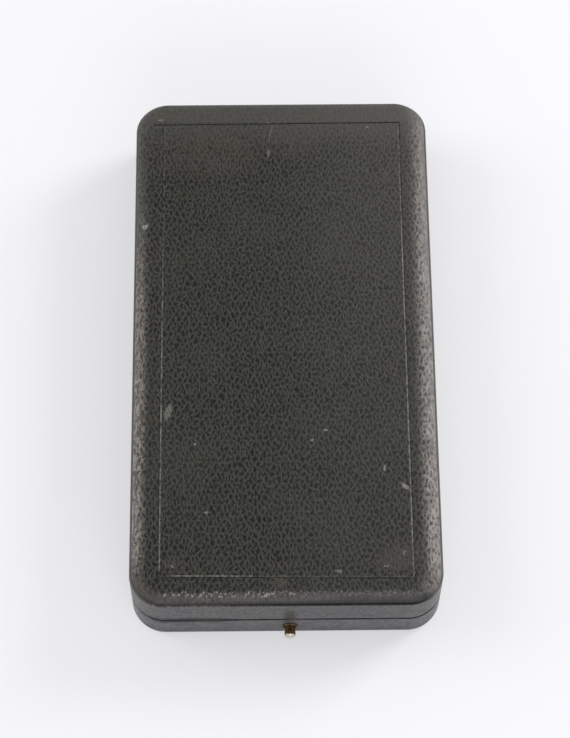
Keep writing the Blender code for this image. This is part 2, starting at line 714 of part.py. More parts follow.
def make_catch_spring():
    """A bent leaf spring: nailed at one end, pressed by the button, its window holds the catch."""
    x = BUTTON_X
    seat = POCKET_FLOOR_Y + 0.1 * MM + SPRING_THICKNESS / 2
    path = [(x - POCKET_HALF + 0.4 * MM, seat), (x - 5.6 * MM, seat), (x - 4.2 * MM, SPRING_Y),
            (x + 6.5 * MM, SPRING_Y)]
    spring = slab("catch_spring", [strip_outline(path, SPRING_THICKNESS)], SPRING_LOW, SPRING_TOP,
                  "spring_steel")
    reach = CATCH_WIDTH / 2 + 0.25 * MM
    window = block("cut_spring_window", (x - reach, SPRING_Y - 1 * MM, WINDOW_LOW),
                   (x + reach, SPRING_Y + 1 * MM, WINDOW_TOP))
    shoulder = block("cut_spring_shoulder",
                     (x - POCKET_HALF - 1 * MM, POCKET_FLOOR_Y - 1 * MM, SPRING_TOP - 0.9 * MM),
                     (x - SPRING_HEAD, SPRING_Y + 1 * MM, SPRING_TOP + 1 * MM))
    far_shoulder = block("cut_spring_far_shoulder",
                         (x + SPRING_HEAD, SPRING_Y - 1 * MM, SPRING_TOP - 0.9 * MM),
                         (x + POCKET_HALF, SPRING_Y + 1 * MM, SPRING_TOP + 1 * MM))
    cut(spring, window, shoulder, far_shoulder)
    cut(spring, *(rod(f"cut_spring_hole_{i}", (bx, POCKET_FLOOR_Y - 1 * MM, bz),
                      (bx, SPRING_Y + 1 * MM, bz), SMALL_BRAD_HOLE, steps=12)
                  for i, (bx, bz) in enumerate(spring_brad_places())))
    return spring


def make_lid_catch():
    """The brass tongue in the lid's front wall, with a ramped nose that the spring's window holds."""
    half = CATCH_THICKNESS / 2
    front, back = CATCH_Y - half, CATCH_Y + half
    side_view = [(front, CATCH_LOW), (back, CATCH_LOW), (back + NOSE_REACH, CATCH_LOW + 0.35 * MM),
                 (back + NOSE_REACH, CATCH_LOW + 0.45 * MM), (back, CATCH_LOW + 0.5 * MM),
                 (back, CATCH_TOP), (front, CATCH_TOP)]
    tongue = slab("lid_catch", [side_view], -CATCH_WIDTH / 2, CATCH_WIDTH / 2, "brass")
    stand = Matrix(((0, 0, 1, BUTTON_X), (1, 0, 0, 0), (0, 1, 0, 0), (0, 0, 0, 1)))
    tongue.data.transform(stand)
    cut(tongue, *(rod(f"cut_tongue_hole_{i}", (bx, CATCH_Y - 1 * MM, bz), (bx, CATCH_Y + 1 * MM, bz),
                      SMALL_BRAD_HOLE, steps=12) for i, (bx, bz) in enumerate(catch_brad_places())))
    return tongue


# ---------------------------------------------------------------- medal


def make_medal():
    """The struck disc: a raised rim, a sunk field and a faceted star."""
    r, rim, field = MEDAL_RADIUS, 2.7 * MM, 2.1 * MM
    profile = [(0.0, field), (r - 2.0 * MM, field), (r - 1.6 * MM, rim), (r - 0.3 * MM, rim),
               (r, rim - 0.3 * MM), (r, 0.3 * MM), (r - 0.3 * MM, 0.0), (0.0, 0.0)]
    disc = turned("medal_disc", profile, "bronze", steps=48)
    bm = bmesh.new()
    points, height = 5, 1.2 * MM
    bmesh.ops.create_cone(bm, cap_ends=True, segments=2 * points, radius1=10.5 * MM, radius2=0.0,
                          depth=height)
    bmesh.ops.rotate(bm, matrix=Matrix.Rotation(math.radians(90), 3, "Z"), verts=bm.verts)
    base_ring = [v for v in bm.verts if v.co.z < 0 and v.co.xy.length > 1 * MM]
    base_ring.sort(key=lambda v: math.atan2(v.co.y, v.co.x))
    start = min(range(len(base_ring)), key=lambda i: -base_ring[i].co.y)
    for i, vertex in enumerate(base_ring):
        if (i - start) % 2:
            vertex.co.xy *= 0.42
    bmesh.ops.translate(bm, vec=(0, 0, field + height / 2 - 0.3 * MM), verts=bm.verts)
    star = mesh_object("add_medal_star", bm)
    fuse(disc, star)
    place = Vector((0, MEDAL_Y, MEDAL_LOW))
    settle(disc)
    disc.location = place
    smooth(disc)
    return disc


def wire(name, points, radius, finish, cyclic=False, sides=2):
    """A round wire through points."""
    curve = bpy.data.curves.new(name, "CURVE")
    curve.dimensions = "3D"
    curve.bevel_depth = radius
    curve.bevel_resolution = sides
    curve.use_fill_caps = True
    spline = curve.splines.new("POLY")
    spline.points.add(len(points) - 1)
    for point, place in zip(spline.points, points):
        point.co = (*place, 1.0)
    spline.use_cyclic_u = cyclic
    return curve_to_mesh(bpy.data.objects.new(name, curve), name, finish)


def bend_corners(corners, radius, steps=4):
    """Replaces each corner of a closed path by an arc-like run of points."""
    points = []
    for i, corner in enumerate(corners):
        here = Vector(corner)
        before, after = Vector(corners[i - 1]), Vector(corners[(i + 1) % len(corners)])
        start = here + (before - here).normalized() * radius
        end = here + (after - here).normalized() * radius
        for j in range(steps + 1):
            t = j / steps
            points.append(start * (1 - t) ** 2 + here * 2 * t * (1 - t) + end * t ** 2)
    return points


def make_suspension():
    """The eyelet soldered on the disc, and the wire bail that the ribbon hangs it by."""
    ring, minor = 1.15 * MM, 0.4 * MM
    eyelet_y = MEDAL_Y + MEDAL_RADIUS + ring + minor + 0.05 * MM
    steps = 20
    loop = [(0.0, eyelet_y + ring * math.cos(2 * math.pi * i / steps),
             MEDAL_MID + ring * math.sin(2 * math.pi * i / steps)) for i in range(steps)]
    eyelet = wire("medal_eyelet", loop, minor, "bronze", cyclic=True)
    top_y = RIBBON_LOW_Y + RIBBON_THICKNESS + 0.1 * MM + BAIL_WIRE
    half = RIBBON_WIDTH / 2 + 1.1 * MM
    corners = [(-3.0 * MM, BAIL_LOW_Y, MEDAL_MID), (3.0 * MM, BAIL_LOW_Y, MEDAL_MID),
               (half, top_y - 1.6 * MM, MEDAL_MID), (half, top_y, MEDAL_MID),
               (-half, top_y, MEDAL_MID), (-half, top_y - 1.6 * MM, MEDAL_MID)]
    bail = wire("ribbon_bail", bend_corners(corners, 0.8 * MM), BAIL_WIRE, "bronze", cyclic=True)
    smooth(eyelet, bail)
    return eyelet, bail


def stadium(low, high, height, steps=8):
    """The outline of a flat loop seen from its side, between two ends."""
    r = height / 2
    right = [(high - r + r * math.sin(math.pi * i / steps), -r * math.cos(math.pi * i / steps))
             for i in range(steps + 1)]
    left = [(low + r - r * math.sin(math.pi * i / steps), r * math.cos(math.pi * i / steps))
            for i in range(steps + 1)]
    return right + left


def make_ribbon():
    """The silk ribbon, one flat loop round the bail and the brooch bar."""
    outer = stadium(RIBBON_LOW_Y, RIBBON_HIGH_Y, RIBBON_LOOP)
    t = RIBBON_THICKNESS
    inner = stadium(RIBBON_LOW_Y + t, RIBBON_HIGH_Y - t, RIBBON_LOOP - 2 * t)
    half = RIBBON_WIDTH / 2
    ribbon = slab("ribbon", [outer, inner], -half, half, "silk")
    stand = Matrix(((0, 0, 1, 0), (1, 0, 0, 0), (0, 1, 0, MEDAL_MID), (0, 0, 0, 1)))
    ribbon.data.transform(stand)
    smooth(ribbon)
    return ribbon


def make_brooch():
    """The bar inside the ribbon's upper fold, with its pin, the pin's lug and the pin's hook."""
    half = BAR_LENGTH / 2
    high_y = RIBBON_HIGH_Y - RIBBON_THICKNESS - 0.3 * MM
    mid_y = high_y - BAR_DEPTH / 2
    low_z, high_z = MEDAL_MID - BAR_THICKNESS / 2, MEDAL_MID + BAR_THICKNESS / 2
    bar_outline = [(x, y + mid_y) for x, y in
                   rounded_rectangle(0.0, BAR_LENGTH, BAR_DEPTH, 1.2 * MM)]
    bar = slab("brooch_bar", [bar_outline], low_z, high_z, "bronze")
    pin_z = 4.05 * MM
    lug_x = half - 1.4 * MM
    lug = block("brooch_pin_lug", (-lug_x - 0.6 * MM, mid_y - 1.1 * MM, pin_z - 0.75 * MM),
                (-lug_x + 0.6 * MM, mid_y + 1.1 * MM, low_z - 0.1 * MM), "bronze")
    cut(lug, rod("cut_lug_hole", (-lug_x - 2 * MM, mid_y, pin_z), (-lug_x + 2 * MM, mid_y, pin_z),
                 BROOCH_PIN_RADIUS + 0.07 * MM, steps=12))
    pin = rod("brooch_pin", (-lug_x - 0.9 * MM, mid_y, pin_z), (lug_x + 0.9 * MM, mid_y, pin_z),
              BROOCH_PIN_RADIUS, "spring_steel", steps=12)
    hook_r = 0.62 * MM
    arc = [(lug_x, mid_y + hook_r * math.cos(a), pin_z + hook_r * math.sin(a))
           for a in (math.radians(d) for d in range(0, -226, -25))]
    hook = wire("brooch_hook", [(lug_x, mid_y + hook_r, low_z - 0.1 * MM)] + arc, 0.2 * MM, "bronze")
    smooth(pin, hook)
    return bar, lug, pin, hook


# ---------------------------------------------------------------- assembly


def main():
    clear_scene()
    collection("cased_medal")
    collection("cutters", hidden=True)
    hinge_room = hinge_cutters()
    make_base(hinge_room)
    lid_parts = make_lid(hinge_room)
    hinges = make_hinges()
    lid_brads = make_brads()
    button = make_button()
    make_ferrule()
    make_catch_spring()
    catch = make_lid_catch()
    make_medal()
    make_suspension()
    make_ribbon()
    make_brooch()

    lid_pivot = pivot("lid_hinge_axis", HINGE_AXIS)
    hang(lid_pivot, *lid_parts, *hinges["lid"], *lid_brads, catch)
    button_pivot = pivot("push_button_axis", BUTTON_AXIS)
    hang(button_pivot, button)


main()
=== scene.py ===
"""The looks of the cased service medal: grained leatherette, brass, velvet, satin, silk and bronze.

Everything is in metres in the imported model's frame: the case lies on its underside at z = 0, with its
hinges at +Y and its push button at -Y. Materials count in millimetres, as do functions that say so.
"""

import json
import math

import bmesh
import bpy
import numpy as np
from mathutils import Matrix, Vector


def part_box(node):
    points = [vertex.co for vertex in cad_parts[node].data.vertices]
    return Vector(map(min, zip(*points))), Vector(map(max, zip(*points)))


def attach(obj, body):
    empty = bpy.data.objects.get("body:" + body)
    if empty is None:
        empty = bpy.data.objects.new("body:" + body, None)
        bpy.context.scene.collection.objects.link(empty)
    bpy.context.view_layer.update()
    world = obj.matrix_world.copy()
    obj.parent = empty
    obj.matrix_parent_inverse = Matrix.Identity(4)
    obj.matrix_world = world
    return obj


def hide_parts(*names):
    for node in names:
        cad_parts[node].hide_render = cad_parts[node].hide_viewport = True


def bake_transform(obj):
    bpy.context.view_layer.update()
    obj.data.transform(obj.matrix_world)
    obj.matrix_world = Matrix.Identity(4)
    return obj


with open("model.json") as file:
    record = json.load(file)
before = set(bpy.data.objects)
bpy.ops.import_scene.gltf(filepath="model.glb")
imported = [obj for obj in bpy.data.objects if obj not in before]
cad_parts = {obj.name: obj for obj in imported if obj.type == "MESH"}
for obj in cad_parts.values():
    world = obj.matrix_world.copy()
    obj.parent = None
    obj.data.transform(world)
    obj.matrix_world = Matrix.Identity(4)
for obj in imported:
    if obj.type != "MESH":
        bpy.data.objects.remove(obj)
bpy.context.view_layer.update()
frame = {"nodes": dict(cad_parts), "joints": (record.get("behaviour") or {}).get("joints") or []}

MM = 0.001
PER_MM = (1 / MM,) * 3
LEATHER_TONE = (0.0214, 0.0208, 0.0163)
# The walls' leatherette is about twice as light as the crown's: a painted reflection of the bright
# surroundings on the upright walls.
WALL_TONE_WITH_PAINTED_SHEEN = (0.0418, 0.0400, 0.0412)

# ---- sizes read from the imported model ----
HALF_WIDTH, HALF_LENGTH, RIM_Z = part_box("base_cover")[1]
SIDE_LOW, SIDE_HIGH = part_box("lid_side_cover")
CROWN_LOW, CROWN_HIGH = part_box("lid_crown_cover")
SKIN = CROWN_LOW.z - SIDE_HIGH.z + 0.4 * MM
LEDGE = HALF_WIDTH - CROWN_HIGH.x
SEAM_Z = next(joint for joint in frame["joints"] if joint["name"] == "lid_hinge")["pos_m"][2]
STUD_LOW, STUD_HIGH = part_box("push_button")
BUTTON_AXIS = Vector(((STUD_LOW.x + STUD_HIGH.x) / 2, -HALF_LENGTH, (STUD_LOW.z + STUD_HIGH.z) / 2))

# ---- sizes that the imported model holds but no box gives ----
CORNER_RADIUS = 7.8 * MM
CROWN_RUN = 3.0 * MM
CROWN_EDGE = 0.3 * MM
UNDERSIDE_ROUND = 1.6 * MM
FLANGE = 6.0 * MM
LID_WALL_INSET = 4.0 * MM
COLLAR_INSET = 4.9 * MM
HINGE_X = 19.0 * MM
HINGE_WIDTH = 15.0 * MM
# The base's turned-in edge comes this much nearer to the underside panel than in the CAD.
LAPPED = 0.16 * MM

# ---- the crown's tooled line, in millimetres ----
TOOLED_X, TOOLED_Y = 28.5, 58.5
GROOVE_OUT = 0.15
GROOVE_WIDTH = 0.13
LINE_CROSSES = 0.3
LINE_RUNS_PAST = 2.3

# ---- mesh steps ----
WALL_STEP = 0.45 * MM
CROWN_STEP = 0.37 * MM
TOOLED_STEP = 0.12 * MM
SHARP_ANGLE = math.radians(50)

# ---- camera: a copy stand's view, from above and a little towards the push button ----
CAMERA_DISTANCE = 0.5824
CAMERA_TILT = math.radians(25.24)
CAMERA_YAW = 0.0188
CAMERA_ROLL = 0.0087
CAMERA_TARGET = Vector((0.38 * MM, 1.71 * MM, 0.0))
CAMERA_LENS = 118.06


# ---- node helpers ----


def feed(socket, value):
    """Links a Field to a socket, or sets the socket's own value."""
    if isinstance(value, Field):
        value.tree.links.new(value.socket, socket)
    elif socket.type == "RGBA" and len(value) == 3:
        socket.default_value = (*value, 1.0)
    else:
        socket.default_value = value


class Field:
    """A value that a node gives. Arithmetic on it, and its methods, add nodes to its tree."""

    def __init__(self, tree, socket):
        self.tree = tree
        self.socket = socket

    def node(self, kind, inputs, output=0, **settings):
        """Another node's output. Each input is a Field, a number or a tuple."""
        made = self.tree.nodes.new(kind)
        for name, value in settings.items():
            setattr(made, name, value)
        for key, value in inputs.items():
            feed(made.inputs[key], value)
        return Field(self.tree, made.outputs[output])

    def arithmetic(self, operation, a, b):
        """Goes by parts where either value is a vector or a colour."""
        by_parts = any(isinstance(v, tuple) or isinstance(v, Field) and v.socket.type != "VALUE"
                       for v in (a, b))
        kind = "ShaderNodeVectorMath" if by_parts else "ShaderNodeMath"
        return self.node(kind, {0: a, 1: b}, operation=operation)

    def __add__(self, other):
        return self.arithmetic("ADD", self, other)

    def __sub__(self, other):
        return self.arithmetic("SUBTRACT", self, other)

    def __rsub__(self, other):
        return self.arithmetic("SUBTRACT", other, self)

    def __mul__(self, other):
        return self.arithmetic("MULTIPLY", self, other)

    def __abs__(self):
        return self.node("ShaderNodeMath", {0: self}, operation="ABSOLUTE")

    def most(self, other):
        return self.arithmetic("MAXIMUM", self, other)

    def clamped(self):
        return self.node("ShaderNodeClamp", {0: self})

    def length(self):
        return self.node("ShaderNodeVectorMath", {0: self}, "Value", operation="LENGTH")

    def part(self, axis):
        return self.node("ShaderNodeSeparateXYZ", {0: self}, axis)

    def ramp(self, low, high, to_low=0.0, to_high=1.0):
        """A smooth step from one value to another."""
        inputs = {"Value": self, "From Min": low, "From Max": high, "To Min": to_low, "To Max": to_high}
        return self.node("ShaderNodeMapRange", inputs, interpolation_type="SMOOTHSTEP")

    def mix(self, under, over):
        """One colour going over to another, by this much."""
        inputs = {"Factor": self, "A": under, "B": over}
        return self.node("ShaderNodeMix", inputs, "Result", data_type="RGBA")

    def noise(self, scale, detail=2.0, roughness=0.5, distortion=0.0):
        inputs = {"Vector": self, "Scale": scale, "Detail": detail, "Roughness": roughness,
                  "Distortion": distortion}
        return self.node("ShaderNodeTexNoise", inputs, "Fac")

    def wave(self, scale, distortion, detail, axis="Y"):
        inputs = {"Vector": self, "Scale": scale, "Distortion": distortion, "Detail": detail}
        return self.node("ShaderNodeTexWave", inputs, "Fac", bands_direction=axis)

    def cells(self, flat, randomness):
        """The distance to the nearest cell's edge, for cells about 1 across."""
        inputs = {"Vector": self, "Scale": 1.0, "Randomness": randomness}
        return self.node("ShaderNodeTexVoronoi", inputs, "Distance", feature="DISTANCE_TO_EDGE",
                         voronoi_dimensions="2D" if flat else "3D")

    def warp(self, scale, amount):
        """Coordinates pushed about by noise."""
        inputs = {"Vector": self, "Scale": scale, "Detail": 1.0}
        push = self.node("ShaderNodeTexNoise", inputs, "Color") - (0.5, 0.5, 0.5)
        return self + push * ((amount,) * 3)

    def lean(self, scale, amount):
        """Coordinates pushed across the case by noise, so that what is drawn along it leans."""
        push = (self.noise(scale, 1.0) - 0.5) * (2 * amount)
        return self + self.node("ShaderNodeCombineXYZ", {0: push})

    def turned(self, degrees):
        """Coordinates turned about the upright axis."""
        inputs = {"Vector": self, "Angle": math.radians(degrees)}
        return self.node("ShaderNodeVectorRotate", inputs, rotation_type="Z_AXIS")

    def attribute(self, name):
        return self.node("ShaderNodeAttribute", {}, "Fac", attribute_name=name)

    def bump(self, distance, strength=1.0, normal=None):
        inputs = {"Height": self, "Distance": distance, "Strength": strength}
        if normal:
            inputs["Normal"] = normal
        return self.node("ShaderNodeBump", inputs, "Normal")


def new_material(name):
    """A material, and the place on its piece in millimetres in the case's frame."""
    made = bpy.data.materials.new(name)
    made.use_nodes = True
    tree = made.node_tree
    return made, Field(tree, tree.nodes.new("ShaderNodeTexCoord").outputs["Object"]) * PER_MM


def shade(made, **inputs):
    """Feeds a material's shader. An input's name has underscores for spaces."""
    shader = made.node_tree.nodes["Principled BSDF"]
    for name, value in inputs.items():
        feed(shader.inputs[name.replace("_", " ")], value)
    return made


def dimmed(tone, share):
    return tuple(c * share for c in tone)


# ---- leatherette ----


def grain_height(at, flat=False):
    """The leatherette's grain, from 0 in a pit to 1 on a ridge. The place is in millimetres.

    Its pits are close-packed strokes along the case, about 1 mm apart across it and 2 mm along it,
    between ridges that lean one way and the other. A finer, shallow net lies over them.
    """
    net = (at.lean(0.33, 0.9).warp(0.75, 0.55) * (1.08, 0.535, 0.5)).turned(45).cells(flat, 0.70)
    second = at.lean(0.5, -0.9) * (1.45, 0.80, 0.7) + (3.7, 8.1, 0.0)
    strength = at.noise(0.7, 1.0).ramp(0.3, 0.65, 0.62, 1.0)
    deep = net.ramp(0.05, 0.38) * strength
    shallow = second.turned(45).cells(flat, 0.8).ramp(0.0, 0.36, 0.0, 0.40)
    return (1.0 - (deep * 0.80 + shallow)).clamped()


# Marks on the crown: the centre's x and y, half length, half width (mm), angle, strength.
PALE_MARKS = [
    (-32.6, 30.0, 1.0, 0.7, 40, 0.9), (-3.1, 50.0, 1.6, 0.35, 85, 0.34), (-2.6, 55.5, 2.6, 0.25, 75, 0.2),
    (-3.5, 58.3, 0.4, 0.2, 0, 0.8), (-0.6, 58.2, 0.5, 0.2, 10, 0.8), (21.0, 57.2, 0.35, 0.3, 0, 0.6),
    (-29.3, 59.4, 1.0, 0.25, 5, 0.6), (-26.7, -18.5, 2.4, 0.9, 75, 0.45), (-20.5, -26.4, 0.4, 0.3, 0, 0.7),
    (6.2, -25.7, 0.5, 0.3, 30, 0.6), (9.4, -23.2, 0.8, 0.25, 0, 0.6), (22.6, -32.8, 0.9, 0.25, 88, 0.9),
    (27.1, -37.3, 1.3, 0.5, -40, 0.8), (-17.8, -43.2, 0.7, 0.25, 10, 0.8), (-25.5, -56.0, 0.45, 0.4, 0, 0.5),
    (11.7, -57.7, 0.9, 0.4, 0, 0.5), (26.5, -53.2, 0.7, 0.5, 60, 0.5), (22.4, -56.5, 0.8, 0.3, 0, 0.5)]
BROWN_STAINS = [
    (-26.7, -18.5, 2.8, 1.2, 75, 0.28), (-17.0, 50.0, 14.0, 8.0, 0, 0.55), (3.0, 54.0, 9.0, 7.0, 0, 0.4),
    (25.5, -54.0, 6.5, 4.0, 20, 0.8), (-1.5, -60.0, 3.2, 1.5, 0, 0.8), (-25.3, -56.0, 3.0, 2.2, 0, 0.5),
    (31.0, -60.0, 3.0, 2.0, 40, 0.5), (-32.3, -61.9, 5.0, 2.6, -45, 0.7)]


def mark_mask(at, marks):
    """How strongly marks cover a point. Each mark is an ellipse with a ragged edge."""
    ragged = at.warp(2.2, 0.9)
    total = None
    for x, y, long, wide, angle, strength in marks:
        away = ((ragged - (x, y, 0.0)).turned(-angle) * (1 / long, 1 / wide, 0.0)).length()
        mask = away.ramp(1.15, 0.45, 0.0, strength)
        total = total.most(mask) if total else mask
    return total


def leatherette(name, tone, depth, rough, crown=False):
    """Black leatherette: pitted, greyer on its ridges, brown-grey where it is rubbed, which on the crown's
    right edge is also a painted highlight.

    Wear, stretch and tooling come from the piece's own attributes. Streaks run along a pressed wall.
    """
    made, at = new_material(name)
    # Where the sheet is pulled round an edge or pressed on a wall, its pits are shallow.
    stretched = at.attribute("stretched") if crown else 0.80
    height = 1.0 - (1.0 - grain_height(at, crown)) * (1.0 - stretched)
    fibre = at.noise(3.4, 3.0, 0.65)
    ridge = height * fibre.ramp(0.15, 0.85, 0.6, 1.2) * at.noise(1.1).ramp(0.3, 0.7, 0.72, 1.22)
    colour = ridge.ramp(0.05, 1.15).mix(dimmed(tone, 0.08), dimmed(tone, 2.45))
    cloud = at.noise(0.055, 3.0, 0.55).ramp(0.42, 0.72, 0.0, 0.16)
    flecks = at.noise(1.7, 2.0, 0.7).ramp(0.64, 0.76) * height
    colour = flecks.mix(cloud.mix(colour, (0.060, 0.060, 0.052)), dimmed(tone, 2.8))
    colour = colour * at.noise(0.09).ramp(0.35, 0.65).mix((1.03, 1.0, 0.93), (0.99, 0.98, 1.05))
    if not crown:
        streaks = (at * (0.20, 0.20, 1.5)).noise(1.0, 4.0, 0.7)
        colour = streaks.ramp(0.36, 0.66, 0.0, 0.75).mix(colour, dimmed(tone, 2.3))
    patchy = (at * (0.5, 0.2, 0.5)).noise(1.0, 2.0, 0.6).ramp(0.32, 0.60, 0.75, 1.1)
    # Rubbed edges. On the crown's right edge the rubbing also stands in for a painted highlight.
    rubbed = (at.attribute("wear") * patchy).clamped() * height.ramp(0.1, 0.8, 0.28, 1.0)
    stain = at.noise(0.35).ramp(0.45, 0.70, 0.0, 0.7)
    # Between the worn strands: dark brown on the left, lighter grey on the right, as painted light from the
    # right.
    hollow_lit_right = at.part("X").ramp(-5.0, 5.0).mix((0.100, 0.086, 0.072), (0.180, 0.165, 0.155))
    strands = (at.lean(0.6, 0.9) * (2.4, 0.55, 1.3)).noise(1.0, 2.0, 0.6).ramp(0.43, 0.56)
    worn_tone = strands.mix(hollow_lit_right, stain.mix((0.345, 0.320, 0.292), (0.325, 0.272, 0.220)))
    colour = rubbed.mix(colour, worn_tone)
    roughness = ridge.ramp(0.1, 1.0, rough + 0.14, rough - 0.06)
    if crown:
        colour, roughness = crown_finish_and_painted_light(at, tone, colour, roughness)
    else:
        colour = wall_grime_and_painted_shade(at, tone, colour)
    grain = fibre.bump(0.018 * MM, normal=height.bump(depth))
    return shade(made, Base_Color=colour, Roughness=roughness, Normal=grain,
                 Specular_IOR_Level=0.30 if crown else 0.10)


def crown_finish_and_painted_light(at, tone, colour, roughness):
    """What only the crown shows: its stretched edges, marks, tooled line with painted shade in the groove
    and a painted highlight on its lip, painted glints on the front, painted light towards the right, and
    painted shade at its foot.
    """
    across, along, height = (at.part(axis) for axis in "XYZ")
    pulled = along.ramp(-20.0, 20.0).mix((0.098, 0.089, 0.093), (0.100, 0.096, 0.084))
    colour = (at.attribute("stretched") * 0.62).mix(colour, pulled)
    # Painted glints along the front rounding.
    glints = (at * (1.0, 1.0, 0.5)).noise(1.6, 1.0).ramp(0.52, 0.70)
    front = along.ramp(-61.9, -62.4) * along.ramp(-63.8, -63.0)
    front = front * across.ramp(8.0, -6.0, 0.3, 0.85) * across.ramp(-29.0, -26.5)
    colour = (glints * front).mix(colour, (0.31, 0.287, 0.287))
    # Painted light from the right: the crown is lighter towards the right and the back.
    painted_light_right = across.ramp(-10.0, 34.0, 0.0, 0.17) * along.ramp(-45.0, 60.0, 0.5, 1.3)
    colour = painted_light_right.mix(colour, (0.135, 0.128, 0.122))
    pale = mark_mask(at, PALE_MARKS) * at.noise(2.6).ramp(0.35, 0.6, 0.35, 1.0)
    colour = pale.mix(colour, (0.32, 0.31, 0.27))
    browned = mark_mask(at, BROWN_STAINS) * at.noise(0.5).ramp(0.35, 0.65, 0.2, 0.6)
    colour = browned.mix(colour, (0.075, 0.058, 0.048))
    # Painted shade in the tooled groove, broken into dashes and twice as strong along the back line.
    dashes = at.noise(1.4, 1.0).ramp(0.40, 0.55, 0.45, 1.0)
    groove = at.attribute("groove") * dashes * along.ramp(50.0, 57.0, 1.0, 2.0)
    colour = groove.ramp(0.2, 0.8).mix(colour, dimmed(tone, 0.3))
    # The lip inside the groove: burnished, and lighter as a painted highlight.
    broken = at.noise(0.8, 3.0, 0.7).ramp(0.36, 0.62, 0.15, 0.9)
    lip = (at.attribute("lip") * broken).clamped()
    colour = lip.mix(colour, (0.24, 0.23, 0.21))
    # Painted shade: a dark band at the foot of the front rounding, deeper on the right, and a dark crease at
    # the left front corner.
    lowered = height - across.ramp(2.0, 14.0, 0.0, 0.4)
    foot = lowered.ramp(19.5, 18.5) * along.ramp(-61.5, -63.5) * across.ramp(-30.0, 12.0, 0.62, 0.78)
    corner = across.ramp(-26.0, -30.0) * along.ramp(-48.0, -56.0) * height.ramp(19.0, 18.6, 0.0, 0.8)
    return foot.most(corner).mix(colour, (0.013, 0.012, 0.014)), lip.ramp(0.1, 0.8, roughness, 0.36)


def wall_grime_and_painted_shade(at, tone, colour):
    """Dirt above the push button; painted shade in the seam between lid and base, under the crown's front,
    and darker and bluer towards the floor; a paler line along the ledge, a lighter bluish band 8.0 to 8.85
    mm up, and slightly darker above 10.6 mm.
    """
    across, along, height = (at.part(axis) for axis in "XYZ")
    dark = dimmed(tone, 0.16)
    uneven = (at * (0.12, 0.12, 0.3)).noise(1.0, 3.0).ramp(0.38, 0.58, 0.75, 1.0)
    # Painted shade in the seam between lid and base: uneven, wider on the left, weaker at the left front
    # corner.
    from_seam = abs(height - SEAM_Z / MM) * across.ramp(-16.0, -8.0, 0.50, 1.2)
    seam = from_seam.ramp(0.95, 0.50) * uneven * across.ramp(-34.2, -29.5, 0.25, 0.92)
    # The ledge under the crown: a paler line along the sides and back, and painted shade under the crown's
    # front, deeper on the right.
    ledge = height.ramp(SIDE_HIGH.z / MM - 0.30, SIDE_HIGH.z / MM - 0.05)
    front = along.ramp(-62.0, -64.8)
    colour = (ledge * (1.0 - front) * 0.85).mix(colour, (0.17, 0.16, 0.15))
    ledge = ledge * front * across.ramp(-28.0, 8.0, 0.2, 0.8)
    rim = height.ramp(8.0, 8.35) * height.ramp(8.85, 8.6, 0.0, 0.5)
    colour = rim.mix(colour, (0.115, 0.118, 0.132))
    # Painted shade: darker and bluer towards the floor. Then slightly darker above 10.6 mm.
    colour = height.ramp(5.5, 1.5, 0.0, 0.45).mix(colour, (0.030, 0.032, 0.042))
    colour = height.ramp(9.3, 10.6, 0.0, 0.10).mix(colour, dark)
    colour = seam.most(ledge).mix(colour, dark)
    above_button = (BUTTON_AXIS.x / MM, BUTTON_AXIS.y / MM, SEAM_Z / MM + 3.2)
    away = ((at - above_button) * (0.55, 0.2, 0.36)).length()
    return away.ramp(1.25, 0.3, 0.0, 0.75).mix(colour, (0.040, 0.044, 0.034))


# ---- mesh helpers ----


def in_scene(name, data):
    made = bpy.data.objects.new(name, data)
    bpy.context.scene.collection.objects.link(made)
    return made


def mesh_piece(name, vertices, faces, material, smooth=True):
    mesh = bpy.data.meshes.new(name)
    mesh.from_pydata([tuple(v) for v in vertices], [], faces)
    mesh.validate()
    mesh.materials.append(material)
    if smooth:
        mesh.shade_smooth()
        mesh.set_sharp_from_angle(angle=SHARP_ANGLE)
    return in_scene(name, mesh)


def bmesh_piece(name, bm, *materials):
    mesh = bpy.data.meshes.new(name)
    bm.to_mesh(mesh)
    bm.free()
    for material in materials:
        mesh.materials.append(material)
    return in_scene(name, mesh)


def unit(vectors):
    return vectors / np.linalg.norm(vectors, axis=-1, keepdims=True)


def full_turn(count):
    return np.linspace(0, 2 * math.pi, count, endpoint=False)


def curve(start, corner, end, count):
    """Points on the curve that leaves one place towards a corner and ends at another."""
    return [start * (1 - t) ** 2 + corner * 2 * t * (1 - t) + end * t ** 2
            for t in np.linspace(0, 1, count)]


def quads(*corners):
    """Faces from four arrays of vertex numbers."""
    return np.stack(corners, -1).reshape(-1, 4).tolist()


def grid_faces(nx, ny):
    grid = np.arange(nx * ny).reshape(ny, nx)
    return quads(grid[:-1, :-1], grid[:-1, 1:], grid[1:, 1:], grid[1:, :-1])


def grid_rim(nx, ny):
    """The vertex numbers round a grid's edge, anticlockwise from its first corner."""
    grid = np.arange(nx * ny).reshape(ny, nx)
    return np.concatenate([grid[0], grid[1:, -1], grid[-1, -2::-1], grid[-2:0:-1, 0]])


def loop_faces(outer, inner):
    """The faces between two closed loops of vertex numbers."""
    return quads(outer, inner, np.roll(inner, -1), np.roll(outer, -1))


def ring_faces(rings, size, closed=True, shift=0):
    """The faces between rings of points that follow one another.

    A closed run joins the last ring to the first, which is turned by shift points against it.
    """
    grid = np.arange(rings * size).reshape(rings, size)
    here, there = (grid, np.roll(grid, -1, 0)) if closed else (grid[:-1], grid[1:])
    if closed:
        there[-1] = np.roll(there[-1], -shift)
    return quads(here, np.roll(here, -1, 1), np.roll(there, -1, 1), there)


